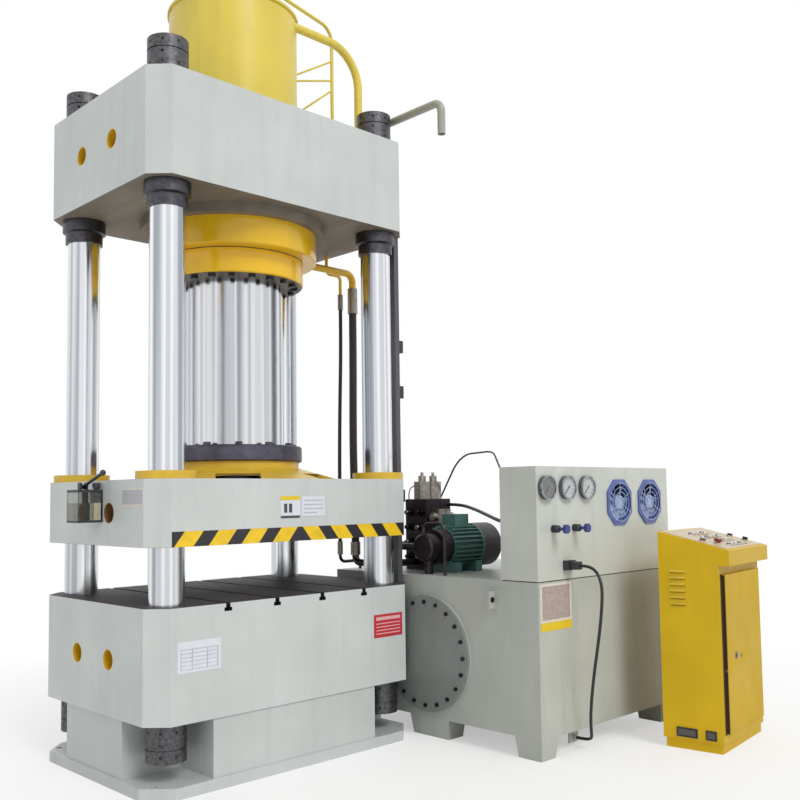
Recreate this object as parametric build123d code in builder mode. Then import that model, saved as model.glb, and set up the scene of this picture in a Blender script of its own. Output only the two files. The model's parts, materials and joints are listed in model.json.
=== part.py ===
from build123d import *
import math
import os

# Four-column hydraulic press with its power pack and control console, in millimetres.
# The origin is the press axis at floor level: X runs along the press front, Y to its back, Z up.

os.makedirs("parts", exist_ok=True)

# Clearances
seat_gap = 0.3
running_gap = 0.3
joint_gap = 2.0

# Press frame
frame_width = 1840.0
frame_depth = 1300.0
corner_cut = 100.0
base_thickness = 60.0
base_corner_cut = 130.0
pedestal_inset = 10.0
notch_width = 355.0
notch_depth = 330.0
anchor_inset_x = 70.0
anchor_inset_y = 105.0
anchor_hole_radius = 17.5
bed_bottom = 365.0
bed_height = 585.0
slide_height = 350.0
shut_height = 305.0
crown_bottom = 3185.0
crown_height = 585.0
slot_pitch = 320.0
slot_count = 4
slot_neck_width = 28.0
slot_neck_depth = 22.0
slot_foot_width = 48.0
slot_foot_depth = 20.0
lifting_hole_radius = 55.0
lifting_hole_spacing = 360.0
lifting_hole_depth = 250.0

# Columns and their nuts
column_radius = 95.0
column_inset_x = 167.0
column_inset_y = 161.0
column_end_chamfer = 6.0
nut_radius = 110.0
nut_height = 195.0
nut_lock_height = 70.0
nut_groove = 6.0
collar_radius = 125.0
collar_height = 70.0
collar_tail_radius = 108.0
collar_tail_height = 68.0
spanner_hole_radius = 8.0
spanner_hole_depth = 9.0
spanner_hole_count = 4
bottom_nut_radius = 105.0
bottom_nut_height = 202.0
nut_end_margin = 8.0

# Main cylinder, ram and its cover
ram_radius = 300.0
ram_wall = 70.0
ram_floor = 180.0
piston_radius = 315.0
piston_height = 140.0
stroke = 900.0
end_cushion = 15.0
flange_radius = 513.0
flange_height = 165.0
seat_ring_radius = 570.0
seat_ring_height = 57.0
barrel_radius = 430.0
barrel_top_radius = 375.0
barrel_end_thickness = 80.0
gland_radius = 430.0
gland_height = 149.0
gland_lip_height = 40.0
seal_thickness = 25.0
gland_bolt_count = 20
gland_bolt_circle = 375.0
ram_flange_radius = 415.0
ram_flange_height = 96.0
ram_flange_lift = 110.0
ram_flange_bolt_count = 12
ram_flange_bolt_circle = 360.0
cover_neck_radius = 395.0
cover_neck_height = 37.0
cover_foot_gap = 93.0
cover_wall = 22.0
cover_window_count = 6
cover_window_width = 250.0
cover_window_height = 34.0
cover_window_angle = -122.0
cover_window_reach = 160.0
ram_flange_spigot = 365.0
ram_bolt_radius = 22.0
ram_bolt_height = 18.0
edge_break = 8.0

# Guide bushes, lubricator and travel switches
bush_body_radius = 125.0
bush_flange_radius = 160.0
bush_flange_height = 42.0
lubricator_y = -45.0
lubricator_width = 140.0
lubricator_depth = 134.0
lubricator_lift = 125.0
reservoir_height = 150.0
reservoir_wall = 4.0
lubricator_base_height = 12.0
lubricator_lid_height = 14.0
lubricator_head_height = 40.0
lubricator_plate = 6.0
lubricator_tube_radius = 16.0
lever_pivot_reach = 65.0
lever_pivot_y = -10.0
lever_pivot_height = 17.0
lever_length = 240.0
lever_radius = 9.0
lever_rise = 17.0
lever_knob_radius = 16.0
lever_hub_width = 22.0
lever_hub_radius = 13.0
lever_pin_radius = 5.0
clevis_ear_width = 10.0
clevis_width = 36.0
filler_neck_radius = 14.0
filler_cap_radius = 20.0
filler_neck_height = 12.0
filler_height = 36.0
filler_inset_x = 24.0
filler_inset_y = 30.0
rail_inset = 190.0
rail_width = 60.0
rail_thickness = 40.0
rail_foot = 50.0
rail_head = 145.0
switch_lifts = (245.0, 925.0, 1225.0)
switch_size = 42.0
switch_height = 80.0
switch_shaft_radius = 7.0
switch_arm_width = 8.0
switch_arm_drop = 35.0
roller_radius = 12.0
roller_width = 14.0
dog_thickness = 16.0
dog_length = 150.0
dog_width = 40.0
dog_offset = 75.0
dog_ramp = 40.0

# Prefill tank and the pipes on the crown
prefill_radius = 400.0
prefill_height = 750.0
prefill_wall = 8.0
lid_thickness = 16.0
lid_overhang = 10.0
lid_bolt_inset = 34.0
valve_neck_radius = 120.0
valve_flange_radius = 200.0
valve_flange_height = 40.0
valve_cage_radius = 140.0
valve_cage_height = 160.0
valve_window_count = 8
valve_window_width = 50.0
valve_window_height = 110.0
lid_bolt_count = 12
breather_radius = 45.0
breather_neck_radius = 26.0
breather_height = 60.0
breather_y = 200.0
tank_pipe_radius = 27.0
tank_pipe_wall = 4.0
tank_pipe_share = 0.593
tank_pipe_inset = 120.0
tank_pipe_rise = 710.0
tank_pipe_bend = 250.0
post_radius = 12.0
post_inset = 70.0
post_y = 40.0
post_height = 1020.0
post_rise = 100.0
post_end_x = 120.0
post_bend = 110.0
brace_radius = 7.0
brace_drops = ((240.0, -40.0), (240.0, 100.0), (540.0, 170.0))
gooseneck_radius = 25.0
gooseneck_wall = 4.0
gooseneck_inset = 28.0
gooseneck_foot_y = -300.0
gooseneck_rise = 192.0
gooseneck_reach = 315.0
gooseneck_mouth_drop = 18.0
gooseneck_bend = 62.0
foot_flange_radius = 48.0
foot_flange_height = 14.0
port_pipe_radius = 24.0
port_pipe_drop = 135.0
port_pipe_reach = 65.0
port_pipe_bend = 60.0
thin_pipe_radius = 11.0
thin_pipe_y = 130.0
thin_pipe_riser_inset = 60.0
thin_pipe_drop = 125.0

# Hoses and the control cable
hose_radius = 27.0
hose_top_drop = 413.0
hose_pipe_drop = 237.0
thin_hose_radius = 13.0
thin_hose_top_drop = 365.0
thin_hose_pipe_drop = 258.0
ferrule_radius = 34.0
thin_ferrule_radius = 19.0
hose_foot_y = -6.0
thin_hose_foot_reach = 42.0
hose_foot_rise = 104.0
hose_foot_length = 90.0
cable_radius = 9.0

# Oil tank of the power pack
pack_gap = 50.0
pack_front = -1575.0
tank_width = 1430.0
tank_depth = 1750.0
tank_bottom = 120.0
tank_height = 876.0
tank_wall = 8.0
foot_width = 159.0
foot_depth = 193.0
foot_taper = 7.0
middle_foot_depth = 330.0
cover_radius = 360.0
cover_thickness = 14.0
cover_flange_thickness = 14.0
cover_rise = 396.0
cover_bolt_count = 20
cover_bolt_circle = 318.0
cover_opening_radius = 280.0
bolt_head_radius = 13.0
bolt_head_height = 12.0
gland_plate_inset = 435.0
gland_plate_setback = 97.0
gland_plate_width = 90.0
gland_plate_height = 100.0
gland_plate_thickness = 8.0
gland_boss_radius = 14.0
gland_boss_length = 22.0
gland_z = 50.0
lug_setback = 326.0
lug_drop = 112.0
lug_size = (50.0, 16.0, 100.0)
lug_pad_size = (8.0, 106.0, 130.0)

# Instrument box on the tank
box_depth = 267.0
box_height = 663.0
box_wall = 4.0
seam_depth = 2.5
seam_height = 6.0
gauge_radius = 70.0
gauge_depth = 32.0
gauge_rim = 7.0
gauge_dial_depth = 12.0
gauge_stem_radius = 12.0
gauge_stem_length = 40.0
gauge_rise = 539.0
gauge_first_share = 0.06
gauge_pitch_share = 0.138
gauge_glass = 3.0
gauge_lip = 1.0
pointer_length = 50.0
pointer_tail = 16.0
pointer_width = 6.0
pointer_thickness = 2.0
pointer_hub_radius = 6.0
pointer_zero = 225.0
arbor_radius = 2.0
arbor_length = 6.0
knob_rise = 301.0
knob_inset = 152.0
knob_pitch = 206.0
knob_radius = 26.0
knob_thickness = 22.0
knob_flute_count = 8
knob_flute_radius = 4.5
valve_stem_radius = 8.0
valve_stem_length = 75.0
valve_body_radius = 22.0
valve_body_length = 50.0
valve_tail_radius = 14.0
valve_tail_length = 34.0
fan_width = 270.0
fan_height = 285.0
fan_corner = 78.0
fan_thickness = 78.0
fan_proud = 10.0
fan_bore = 122.0
fan_barrel_wall = 4.0
fan_corner_round = 20.0
fan_spoke_width = 14.0
fan_spoke_depth = 8.0
fan_spoke_count = 3
fan_first_share = 0.59
fan_pitch_share = 0.2475
fan_rise = 445.0
fan_hub = 44.0
fan_hub_depth = 50.0
fan_blade_count = 7
fan_blade_tip = 117.0
fan_blade_width = 58.0
fan_blade_thickness = 3.0
fan_blade_pitch = 38.0
fan_shaft_radius = 8.0
fan_motor_depth = 16.0
fan_motor_gap = 5.0
socket_inset = 280.0
socket_rise = 86.0
socket_width = 84.0
socket_height = 56.0
socket_depth = 34.0
plug_width = 46.0
plug_length = 56.0

# Motor, pump and valves on the tank
motor_setback = 955.0
motor_rise = 170.0
motor_inset = 230.0
motor_length = 260.0
motor_core_radius = 118.0
motor_fin_radius = 142.0
motor_fin_count = 28
motor_fin_thickness = 6.0
motor_bore = 76.0
motor_shaft_radius = 21.0
motor_end_plate = 20.0
motor_end_radius = 145.0
motor_foot_size = (60.0, 230.0)
motor_foot_height = 70.0
terminal_box = (130.0, 116.0, 66.0)
cowl_length = 170.0
cowl_wall = 4.0
cowl_slot_count = 8
cowl_slot_length = 70.0
cowl_slot_width = 26.0
cooling_fan_radius = 120.0
cooling_fan_depth = 44.0
cooling_blade_count = 8
bell_length = 80.0
bell_radius = 112.0
bell_wall = 12.0
pump_length = 110.0
pump_radius = 88.0
pump_shaft_depth = 18.0
suction_radius = 30.0
suction_inset = 100.0
coupling_radius = 48.0
coupling_length = 40.0
valve_block_inset = 430.0
valve_block_setback = 1275.0
valve_block_size = (240.0, 200.0, 480.0)
pilot_valve_size = (100.0, 60.0, 120.0)
pilot_valve_pitch = 108.0
coil_radius = 27.0
coil_length = 40.0
core_radius = 11.0
core_length = 24.0
oil_tube_radius = 24.0
drain_tube_radius = 11.0
gauge_line_radius = 6.0
gauge_line_bend = 250.0
tube_bend = 46.0
thin_tube_bend = 42.0
thin_tube_run = 184.0
oil_tube_rise = 54.0
case_drain_inset = 60.0
case_drain_setback = 775.0
case_drain_rise = 324.0

# Control console
console_inset = 600.0
console_setback = 658.0
console_turn = 7.2
console_width = 686.0
console_depth = 361.0
console_wall = 3.0
plinth_height = 57.0
plinth_inset = 12.0
console_back_height = 1264.0
console_lip_top = 1160.0
console_lip_bottom = 1070.0
console_lip_reach = 65.0
door_left = 50.0
door_right = 640.0
door_bottom = 108.0
door_top = 1016.0
door_thickness = 18.0
door_lap = 20.0
door_rim = 3.0
hinge_x = 650.0
hinge_y = -9.0
hinge_radius = 7.0
hinge_pin_radius = 3.0
hinge_height = 40.0
hinge_inset = 130.0
louvre_count = 6
louvre_pitch = 38.0
louvre_width = 92.0
louvre_y = 246.0
louvre_first_z = 840.0
louvre_reach = 9.0
louvre_sheet = 2.0
louvre_slot = 7.0
panel_margin = 24.0
panel_thickness = 4.0
button_radius = 16.0
button_height = 14.0
button_travel = 4.0
button_stem_radius = 11.0
button_stem_length = 26.0
collar_ring_radius = 21.0
collar_ring_height = 8.0
stop_radius = 23.0
stop_height = 18.0
stop_travel = 6.0
selector_grip = (30.0, 9.0, 10.0)
stop_place = (130.0, 115.0)
button_left_place = (60.0, 180.0)
selector_place = (575.0, 105.0)
button_right_place = (600.0, 210.0)
lamp_radius = 10.0
lamp_height = 7.0
lamp_places = (350.0, 250.0)
lamp_pitch = 62.0
lamp_columns = 3

# Levels that follow from the sizes above
bed_top = bed_bottom + bed_height
slide_bottom = bed_top + shut_height
slide_top = slide_bottom + slide_height
crown_top = crown_bottom + crown_height
flange_bottom = crown_bottom - seat_ring_height - flange_height
gland_bottom = flange_bottom - gland_height
piston_bottom = flange_bottom + end_cushion
barrel_end = piston_bottom + piston_height + stroke + end_cushion
ram_flange_bottom = slide_top + ram_flange_lift
ram_flange_top = ram_flange_bottom + ram_flange_height
nut_top = crown_top + nut_height
nut_bottom = bed_bottom - bottom_nut_height
column_top = nut_top - nut_end_margin
column_bottom = nut_bottom + nut_end_margin
prefill_top = crown_top + prefill_height
tank_top = tank_bottom + tank_height
gauge_z = tank_top + gauge_rise
knob_z = tank_top + knob_rise
fan_z = tank_top + fan_rise
socket_z = tank_top + socket_rise
motor_axis_z = tank_top + motor_rise
oil_tube_z = tank_top + oil_tube_rise
case_drain_z = tank_top + case_drain_rise

# Places round the press
half_width = frame_width / 2
half_depth = frame_depth / 2
column_spacing_x = frame_width - 2 * column_inset_x
column_spacing_y = frame_depth - 2 * column_inset_y
column_reach = math.hypot(column_spacing_x, column_spacing_y) / 2
cover_foot_radius = column_reach - bush_flange_radius - cover_foot_gap
lubricator_bottom = slide_bottom + lubricator_lift
lever_pivot_x = -half_width - lever_pivot_reach
rail_y = rail_inset - half_depth
dog_y = rail_y + dog_offset
rail_bottom = bed_top - rail_foot
rail_top = crown_bottom + rail_head
switch_heights = [slide_bottom + lift for lift in switch_lifts]
tank_pipe_y = -tank_pipe_share * column_spacing_y / 2
tank_pipe_foot_x = half_width - tank_pipe_inset
tank_pipe_top = crown_top + tank_pipe_rise
post_x = half_width - post_inset
post_top = crown_top + post_height
gooseneck_x = half_width - gooseneck_inset
gooseneck_height = crown_top + gooseneck_rise
gooseneck_reach_y = -half_depth - gooseneck_reach
gooseneck_mouth = crown_top - gooseneck_mouth_drop
port_pipe_x = half_width + port_pipe_reach
port_pipe_z = crown_bottom - port_pipe_drop
thin_pipe_riser_x = half_width - thin_pipe_riser_inset
thin_pipe_z = crown_bottom - thin_pipe_drop

# Places on and round the power pack
pack_left = half_width + pack_gap
pack_right = pack_left + tank_width
tank_x = pack_left + tank_width / 2
tank_y = pack_front + tank_depth / 2
cover_z = tank_bottom + cover_rise
gland_plate_x = pack_left + gland_plate_inset
gland_plate_y = pack_front + gland_plate_setback
lug_y = pack_front + lug_setback
lug_z = tank_top - lug_drop
gauge_first_x = pack_left + gauge_first_share * tank_width
gauge_pitch = gauge_pitch_share * tank_width
gauge_x = [gauge_first_x + number * gauge_pitch for number in range(3)]
knob_x = [pack_left + knob_inset + number * knob_pitch for number in range(2)]
fan_first_x = pack_left + fan_first_share * tank_width
fan_pitch = fan_pitch_share * tank_width
fan_x = [fan_first_x + number * fan_pitch for number in range(2)]
socket_x = pack_left + socket_inset
motor_y = pack_front + motor_setback
motor_left = pack_left + motor_inset
motor_right = motor_left + motor_length
bell_left = motor_left - bell_length
pump_left = bell_left - pump_length
suction_x = pack_left + suction_inset
valve_block_x = pack_left + valve_block_inset
valve_block_y = pack_front + valve_block_setback
case_drain_x = pack_left + case_drain_inset
case_drain_y = pack_front + case_drain_setback
console_x = pack_right - console_inset
console_y = pack_front - console_setback

# Routes of the hoses and the control cable
hose_top = crown_bottom - hose_top_drop
hose_pipe_end = crown_bottom - hose_pipe_drop
thin_hose_top = crown_bottom - thin_hose_top_drop
thin_hose_pipe_end = crown_bottom - thin_hose_pipe_drop
hose_foot_x = port_pipe_x - 1
thin_hose_foot_x = half_width + thin_hose_foot_reach
hose_foot_bottom = tank_top + hose_foot_rise
hose_foot_top = hose_foot_bottom + hose_foot_length
hose_route = [
    (port_pipe_x, 0, hose_top),
    (port_pipe_x, 0, hose_top - 332),
    (port_pipe_x - 3, 4, hose_top - 732),
    (port_pipe_x - 5, 2, hose_foot_top + 550),
    (hose_foot_x, hose_foot_y, hose_foot_top + 250),
    (hose_foot_x, hose_foot_y, hose_foot_top),
]
thin_hose_route = [
    (port_pipe_x, thin_pipe_y, thin_hose_top),
    (port_pipe_x, thin_pipe_y, thin_hose_top - 300),
    (port_pipe_x - 9, thin_pipe_y + 4, thin_hose_top - 640),
    (thin_hose_foot_x + 6, thin_pipe_y + 4, hose_foot_top + 650),
    (thin_hose_foot_x, thin_pipe_y, hose_foot_top + 310),
    (thin_hose_foot_x, thin_pipe_y, hose_foot_top),
]
cable_start_y = pack_front - socket_depth - plug_length
cable_end_y = gland_plate_y - gland_boss_length
cable_route = [
    (socket_x, cable_start_y, socket_z),
    (socket_x, cable_start_y - 64, socket_z),
    (socket_x - 10, cable_start_y - 125, socket_z - 32),
    (socket_x - 18, cable_start_y - 157, socket_z - 97),
    (socket_x - 21, cable_start_y - 160, socket_z - 182),
    (socket_x - 16, cable_start_y - 140, socket_z - 322),
    (socket_x, cable_start_y - 105, gland_z + 570),
    (socket_x + 22, cable_start_y - 62, gland_z + 420),
    (socket_x + 43, cable_start_y - 27, gland_z + 280),
    (gland_plate_x - 93, cable_start_y - 3, gland_z + 170),
    (gland_plate_x - 67, cable_end_y - 150, gland_z + 80),
    (gland_plate_x - 33, cable_end_y - 132, gland_z + 25),
    (gland_plate_x, cable_end_y - 75, gland_z),
    (gland_plate_x, cable_end_y, gland_z),
]


def frame_block(bottom, height, column_hole_radius):
    """Frame plate with cut corners, four column holes and lifting holes in both ends."""
    with BuildPart() as block:
        with BuildSketch(Plane.XY.offset(bottom)) as outline:
            Rectangle(frame_width, frame_depth)
            chamfer(outline.vertices(), corner_cut)
            with GridLocations(column_spacing_x, column_spacing_y, 2, 2):
                Circle(column_hole_radius, mode=Mode.SUBTRACT)
        extrude(amount=height)
        for side in (-1, 1):
            end_centre = (side * half_width, 0, bottom + height / 2)
            with BuildSketch(Plane(origin=end_centre, x_dir=(0, 1, 0), z_dir=(side, 0, 0))):
                with GridLocations(lifting_hole_spacing, 1, 2, 1):
                    Circle(lifting_hole_radius)
            extrude(amount=-lifting_hole_depth, mode=Mode.SUBTRACT)
    return block


def turned(points):
    """Solid of revolution about the press axis, from radius and height pairs."""
    with BuildPart() as body:
        with BuildSketch(Plane.XZ):
            with BuildLine():
                Polyline(*points, close=True)
            make_face()
        revolve(axis=Axis.Z)
    return body


def bent_tube(points, bend_radius, outer_radius, wall):
    """Round tube along straight runs joined by tangent bends."""
    with BuildPart() as tube:
        with BuildLine() as route:
            FilletPolyline(*points, radius=bend_radius)
        with BuildSketch(Plane(origin=route.line @ 0, z_dir=route.line % 0)):
            Circle(outer_radius)
            if wall:
                Circle(outer_radius - wall, mode=Mode.SUBTRACT)
        sweep()
    return tube


def bend_radii(points):
    """Largest even bend at each point of a free cord's route."""
    places = [Vector(*point) for point in points]
    radii = []
    for before, corner, after in zip(places, places[1:], places[2:]):
        shorter_run = min((corner - before).length, (after - corner).length)
        half_turn = math.radians((corner - before).get_angle(after - corner)) / 2
        radii.append(0.45 * shorter_run / math.tan(half_turn))
    return radii


def turned_from(origin, outward, points):
    """Solid of revolution about a level line, from pairs of distance along it and radius."""
    direction = Vector(*outward)
    side_plane = Plane(origin=origin, x_dir=direction, z_dir=direction.cross(Vector(0, 0, 1)))
    with BuildPart() as body:
        with BuildSketch(side_plane):
            with BuildLine():
                Polyline(*points, close=True)
            make_face()
        revolve(axis=Axis(origin, direction))
    return body


def disc_stack(plane, discs):
    """Discs stacked along the normal of a plane, from start, end and radius of each."""
    with BuildPart() as stack:
        for start, end, radius in discs:
            with BuildSketch(plane.offset(start)):
                Circle(radius)
            extrude(amount=end - start)
    return stack


def cord(points, radius):
    """Flexible round cord along a route with the widest even bends."""
    radii = bend_radii(points)
    with BuildPart() as strand:
        with BuildLine() as route:
            FilletPolyline(*points, radius=radii)
        with BuildSketch(Plane(origin=route.line @ 0, z_dir=route.line % 0)):
            Circle(radius)
        sweep()
    return strand


def hexagon_heads(plane, circle_radius, count, head_radius, head_height):
    """Ring of bolt heads that stand on a plane."""
    with BuildPart() as heads:
        with BuildSketch(plane):
            with PolarLocations(circle_radius, count):
                RegularPolygon(head_radius, 6)
        extrude(amount=head_height)
    return heads


# Pedestal and bed

with BuildPart() as pedestal:
    with BuildSketch() as outline:
        Rectangle(frame_width, frame_depth)
        chamfer(outline.vertices(), base_corner_cut)
    extrude(amount=base_thickness)
    with BuildSketch(Plane.XY.offset(base_thickness)):
        Rectangle(frame_width - 2 * pedestal_inset, frame_depth - 2 * notch_depth)
        Rectangle(frame_width - 2 * notch_width, frame_depth - 2 * pedestal_inset)
    extrude(amount=bed_bottom - base_thickness)
    with BuildSketch():
        with GridLocations(frame_width - 2 * anchor_inset_x, frame_depth - 2 * anchor_inset_y, 2, 2):
            Circle(anchor_hole_radius)
    extrude(amount=base_thickness, mode=Mode.SUBTRACT)
pedestal.part.label = "pedestal"
export_step(pedestal.part, "parts/pedestal.step")

bed_block = frame_block(bed_bottom, bed_height, column_radius + seat_gap)
with BuildPart() as bed:
    add(bed_block.part)
    with BuildSketch(Plane.XZ.offset(-half_depth)):
        with Locations((0, bed_top)):
            with GridLocations(slot_pitch, 1, slot_count, 1):
                Rectangle(slot_neck_width, slot_neck_depth, align=(Align.CENTER, Align.MAX))
        with Locations((0, bed_top - slot_neck_depth)):
            with GridLocations(slot_pitch, 1, slot_count, 1):
                Rectangle(slot_foot_width, slot_foot_depth, align=(Align.CENTER, Align.MAX))
    extrude(amount=frame_depth, mode=Mode.SUBTRACT)
bed.part.label = "bed"
export_step(bed.part, "parts/bed.step")

# Columns and their round nuts

with BuildPart() as columns:
    with BuildSketch(Plane.XY.offset(column_bottom)):
        with GridLocations(column_spacing_x, column_spacing_y, 2, 2):
            Circle(column_radius)
    extrude(amount=column_top - column_bottom)
    end_edges = columns.edges().group_by(Axis.Z)[0] + columns.edges().group_by(Axis.Z)[-1]
    chamfer(end_edges, column_end_chamfer)
columns.part.label = "columns"
export_step(columns.part, "parts/columns.step")

nut_bore = column_radius + seat_gap


def grooved_nut(radius, bottom, height, groove_height):
    """Round nut with a groove where its locking ring begins and a row of spanner holes."""
    with BuildPart() as nut:
        with BuildSketch(Plane.XZ):
            with Locations((nut_bore, bottom)):
                Rectangle(radius - nut_bore, height, align=(Align.MIN, Align.MIN))
            with Locations((radius, groove_height)):
                Rectangle(2 * nut_groove, nut_groove, mode=Mode.SUBTRACT)
        revolve(axis=Axis.Z)
        with Locations((0, 0, bottom + height / 2)):
            with PolarLocations(radius, spanner_hole_count, start_angle=45):
                Cylinder(spanner_hole_radius, 2 * spanner_hole_depth, rotation=(0, 90, 0), mode=Mode.SUBTRACT)
    return nut


top_nut = grooved_nut(nut_radius, crown_top, nut_height, nut_top - nut_lock_height)
bottom_nut = grooved_nut(bottom_nut_radius, nut_bottom, bottom_nut_height, nut_bottom + nut_lock_height)
collar_middle = crown_bottom - collar_height
collar_nut = turned([
    (nut_bore, crown_bottom),
    (collar_radius, crown_bottom),
    (collar_radius, collar_middle),
    (collar_tail_radius, collar_middle - (collar_radius - collar_tail_radius) / 2),
    (collar_tail_radius, collar_middle - collar_tail_height),
    (nut_bore, collar_middle - collar_tail_height),
])
with BuildPart() as column_nuts:
    with GridLocations(column_spacing_x, column_spacing_y, 2, 2):
        add(top_nut.part)
        add(collar_nut.part)
        add(bottom_nut.part)
column_nuts.part.label = "column_nuts"
export_step(column_nuts.part, "parts/column_nuts.step")

# Crown and main cylinder

crown_block = frame_block(crown_bottom, crown_height, column_radius + seat_gap)
with BuildPart() as crown:
    add(crown_block.part)
    with BuildSketch(Plane.XY.offset(crown_bottom - seat_ring_height)):
        Circle(seat_ring_radius)
    extrude(amount=seat_ring_height)
    with BuildSketch(Plane.XY.offset(crown_bottom - seat_ring_height)):
        Circle(barrel_radius + seat_gap)
    extrude(amount=seat_ring_height + crown_height, mode=Mode.SUBTRACT)
crown.part.label = "crown"
export_step(crown.part, "parts/crown.step")

cylinder_bore = piston_radius + running_gap
barrel_top = barrel_end + barrel_end_thickness
flange_top = flange_bottom + flange_height
with BuildPart() as main_cylinder:
    with BuildSketch(Plane.XZ):
        with BuildLine():
            Polyline(
                (cylinder_bore, flange_bottom),
                (flange_radius - edge_break, flange_bottom),
                (flange_radius, flange_bottom + edge_break),
                (flange_radius, flange_top),
                (barrel_radius, flange_top),
                (barrel_radius, crown_top),
                (barrel_top_radius, crown_top),
                (barrel_top_radius, barrel_top),
                (valve_neck_radius + seat_gap, barrel_top),
                (valve_neck_radius + seat_gap, barrel_end),
                (cylinder_bore, barrel_end),
                close=True,
            )
        make_face()
    revolve(axis=Axis.Z)
main_cylinder.part.label = "main_cylinder"
export_step(main_cylinder.part, "parts/main_cylinder.step")

with BuildPart() as gland_ring:
    with BuildSketch(Plane.XZ):
        with BuildLine():
            Polyline(
                (ram_radius + running_gap, gland_bottom),
                (gland_radius - edge_break, gland_bottom),
                (gland_radius, gland_bottom + edge_break),
                (gland_radius, flange_bottom),
                (ram_radius + seal_thickness, flange_bottom),
                (ram_radius + seal_thickness, gland_bottom + gland_lip_height),
                (ram_radius + running_gap, gland_bottom + gland_lip_height),
                close=True,
            )
        make_face()
    revolve(axis=Axis.Z)
gland_ring.part.label = "gland_ring"
export_step(gland_ring.part, "parts/gland_ring.step")

seal_bottom = gland_bottom + gland_lip_height
with BuildPart() as ram_seals:
    with BuildSketch(Plane.XY.offset(seal_bottom)):
        Circle(ram_radius + seal_thickness - seat_gap)
        Circle(ram_radius + running_gap, mode=Mode.SUBTRACT)
    extrude(amount=flange_bottom - seal_bottom)
ram_seals.part.label = "ram_seals"
export_step(ram_seals.part, "parts/ram_seals.step")

# Prefill tank with its lid and valve

valve_flange_top = barrel_top + valve_flange_height
valve_top = valve_flange_top + valve_cage_height
with BuildPart() as prefill_valve:
    with BuildSketch(Plane.XZ):
        with BuildLine():
            Polyline(
                (0, barrel_end),
                (valve_neck_radius, barrel_end),
                (valve_neck_radius, barrel_top),
                (valve_flange_radius, barrel_top),
                (valve_flange_radius, valve_flange_top),
                (valve_cage_radius, valve_flange_top),
                (valve_cage_radius, valve_top),
                (0, valve_top),
                close=True,
            )
        make_face()
    revolve(axis=Axis.Z)
    with BuildSketch(Plane.XY.offset(valve_flange_top)):
        with PolarLocations(valve_cage_radius, valve_window_count):
            Rectangle(valve_cage_radius, valve_window_width)
    extrude(amount=valve_window_height, mode=Mode.SUBTRACT)
prefill_valve.part.label = "prefill_valve"
export_step(prefill_valve.part, "parts/prefill_valve.step")

with BuildPart() as prefill_tank:
    with BuildSketch(Plane.XY.offset(crown_top)):
        Circle(prefill_radius)
        Circle(prefill_radius - prefill_wall, mode=Mode.SUBTRACT)
    extrude(amount=prefill_height)
    with BuildSketch(Plane.YZ):
        with Locations((tank_pipe_y, tank_pipe_top)):
            Circle(tank_pipe_radius + seat_gap)
    extrude(amount=prefill_radius, mode=Mode.SUBTRACT)
prefill_tank.part.label = "prefill_tank"
export_step(prefill_tank.part, "parts/prefill_tank.step")

lid_radius = prefill_radius + lid_overhang
lid_top = prefill_top + lid_thickness
with BuildPart() as tank_lid:
    with BuildSketch(Plane.XY.offset(prefill_top)):
        Circle(lid_radius)
    extrude(amount=lid_thickness)
    with BuildSketch(Plane.XY.offset(lid_top)):
        with Locations((0, breather_y)):
            Circle(breather_neck_radius)
    extrude(amount=breather_height)
    with BuildSketch(Plane.XY.offset(lid_top + breather_height / 2)):
        with Locations((0, breather_y)):
            Circle(breather_radius)
    extrude(amount=breather_height)
    fillet(tank_lid.edges().group_by(Axis.Z)[-1], breather_height / 4)
tank_lid.part.label = "tank_lid"
export_step(tank_lid.part, "parts/tank_lid.step")

# Pipes on and under the crown

tank_pipe_start = math.sqrt((prefill_radius - prefill_wall) ** 2 - tank_pipe_y ** 2) - tank_pipe_radius
tank_pipe_route = [
    (tank_pipe_start, tank_pipe_y, tank_pipe_top),
    (tank_pipe_foot_x, tank_pipe_y, tank_pipe_top),
    (tank_pipe_foot_x, tank_pipe_y, crown_top),
]
tank_pipe_body = bent_tube(tank_pipe_route, tank_pipe_bend, tank_pipe_radius, tank_pipe_wall)
with BuildPart() as tank_pipe:
    add(tank_pipe_body.part)
    with BuildSketch(Plane.XY.offset(crown_top)):
        with Locations((tank_pipe_foot_x, tank_pipe_y)):
            Circle(foot_flange_radius)
            Circle(tank_pipe_radius - tank_pipe_wall, mode=Mode.SUBTRACT)
    extrude(amount=foot_flange_height)
tank_pipe.part.label = "tank_pipe"
export_step(tank_pipe.part, "parts/tank_pipe.step")

post_route = [
    (post_x, post_y, crown_top),
    (post_x, post_y, post_top),
    (post_end_x, 0, post_top + post_rise),
    (post_end_x, 0, lid_top),
]
post_body = bent_tube(post_route, post_bend, post_radius, 0)
brace_start = math.sqrt(prefill_radius ** 2 - post_y ** 2) - prefill_wall / 4
with BuildPart() as pipe_stand:
    add(post_body.part)
    for foot_drop, head_drop in brace_drops:
        foot = Vector(brace_start, post_y, prefill_top - foot_drop)
        head = Vector(post_x, post_y, prefill_top - head_drop)
        with BuildSketch(Plane(origin=foot, z_dir=head - foot)):
            Circle(brace_radius)
        extrude(amount=(head - foot).length)
    add(prefill_tank.part, mode=Mode.SUBTRACT)
pipe_stand.part.label = "pipe_stand"
export_step(pipe_stand.part, "parts/pipe_stand.step")

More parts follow.
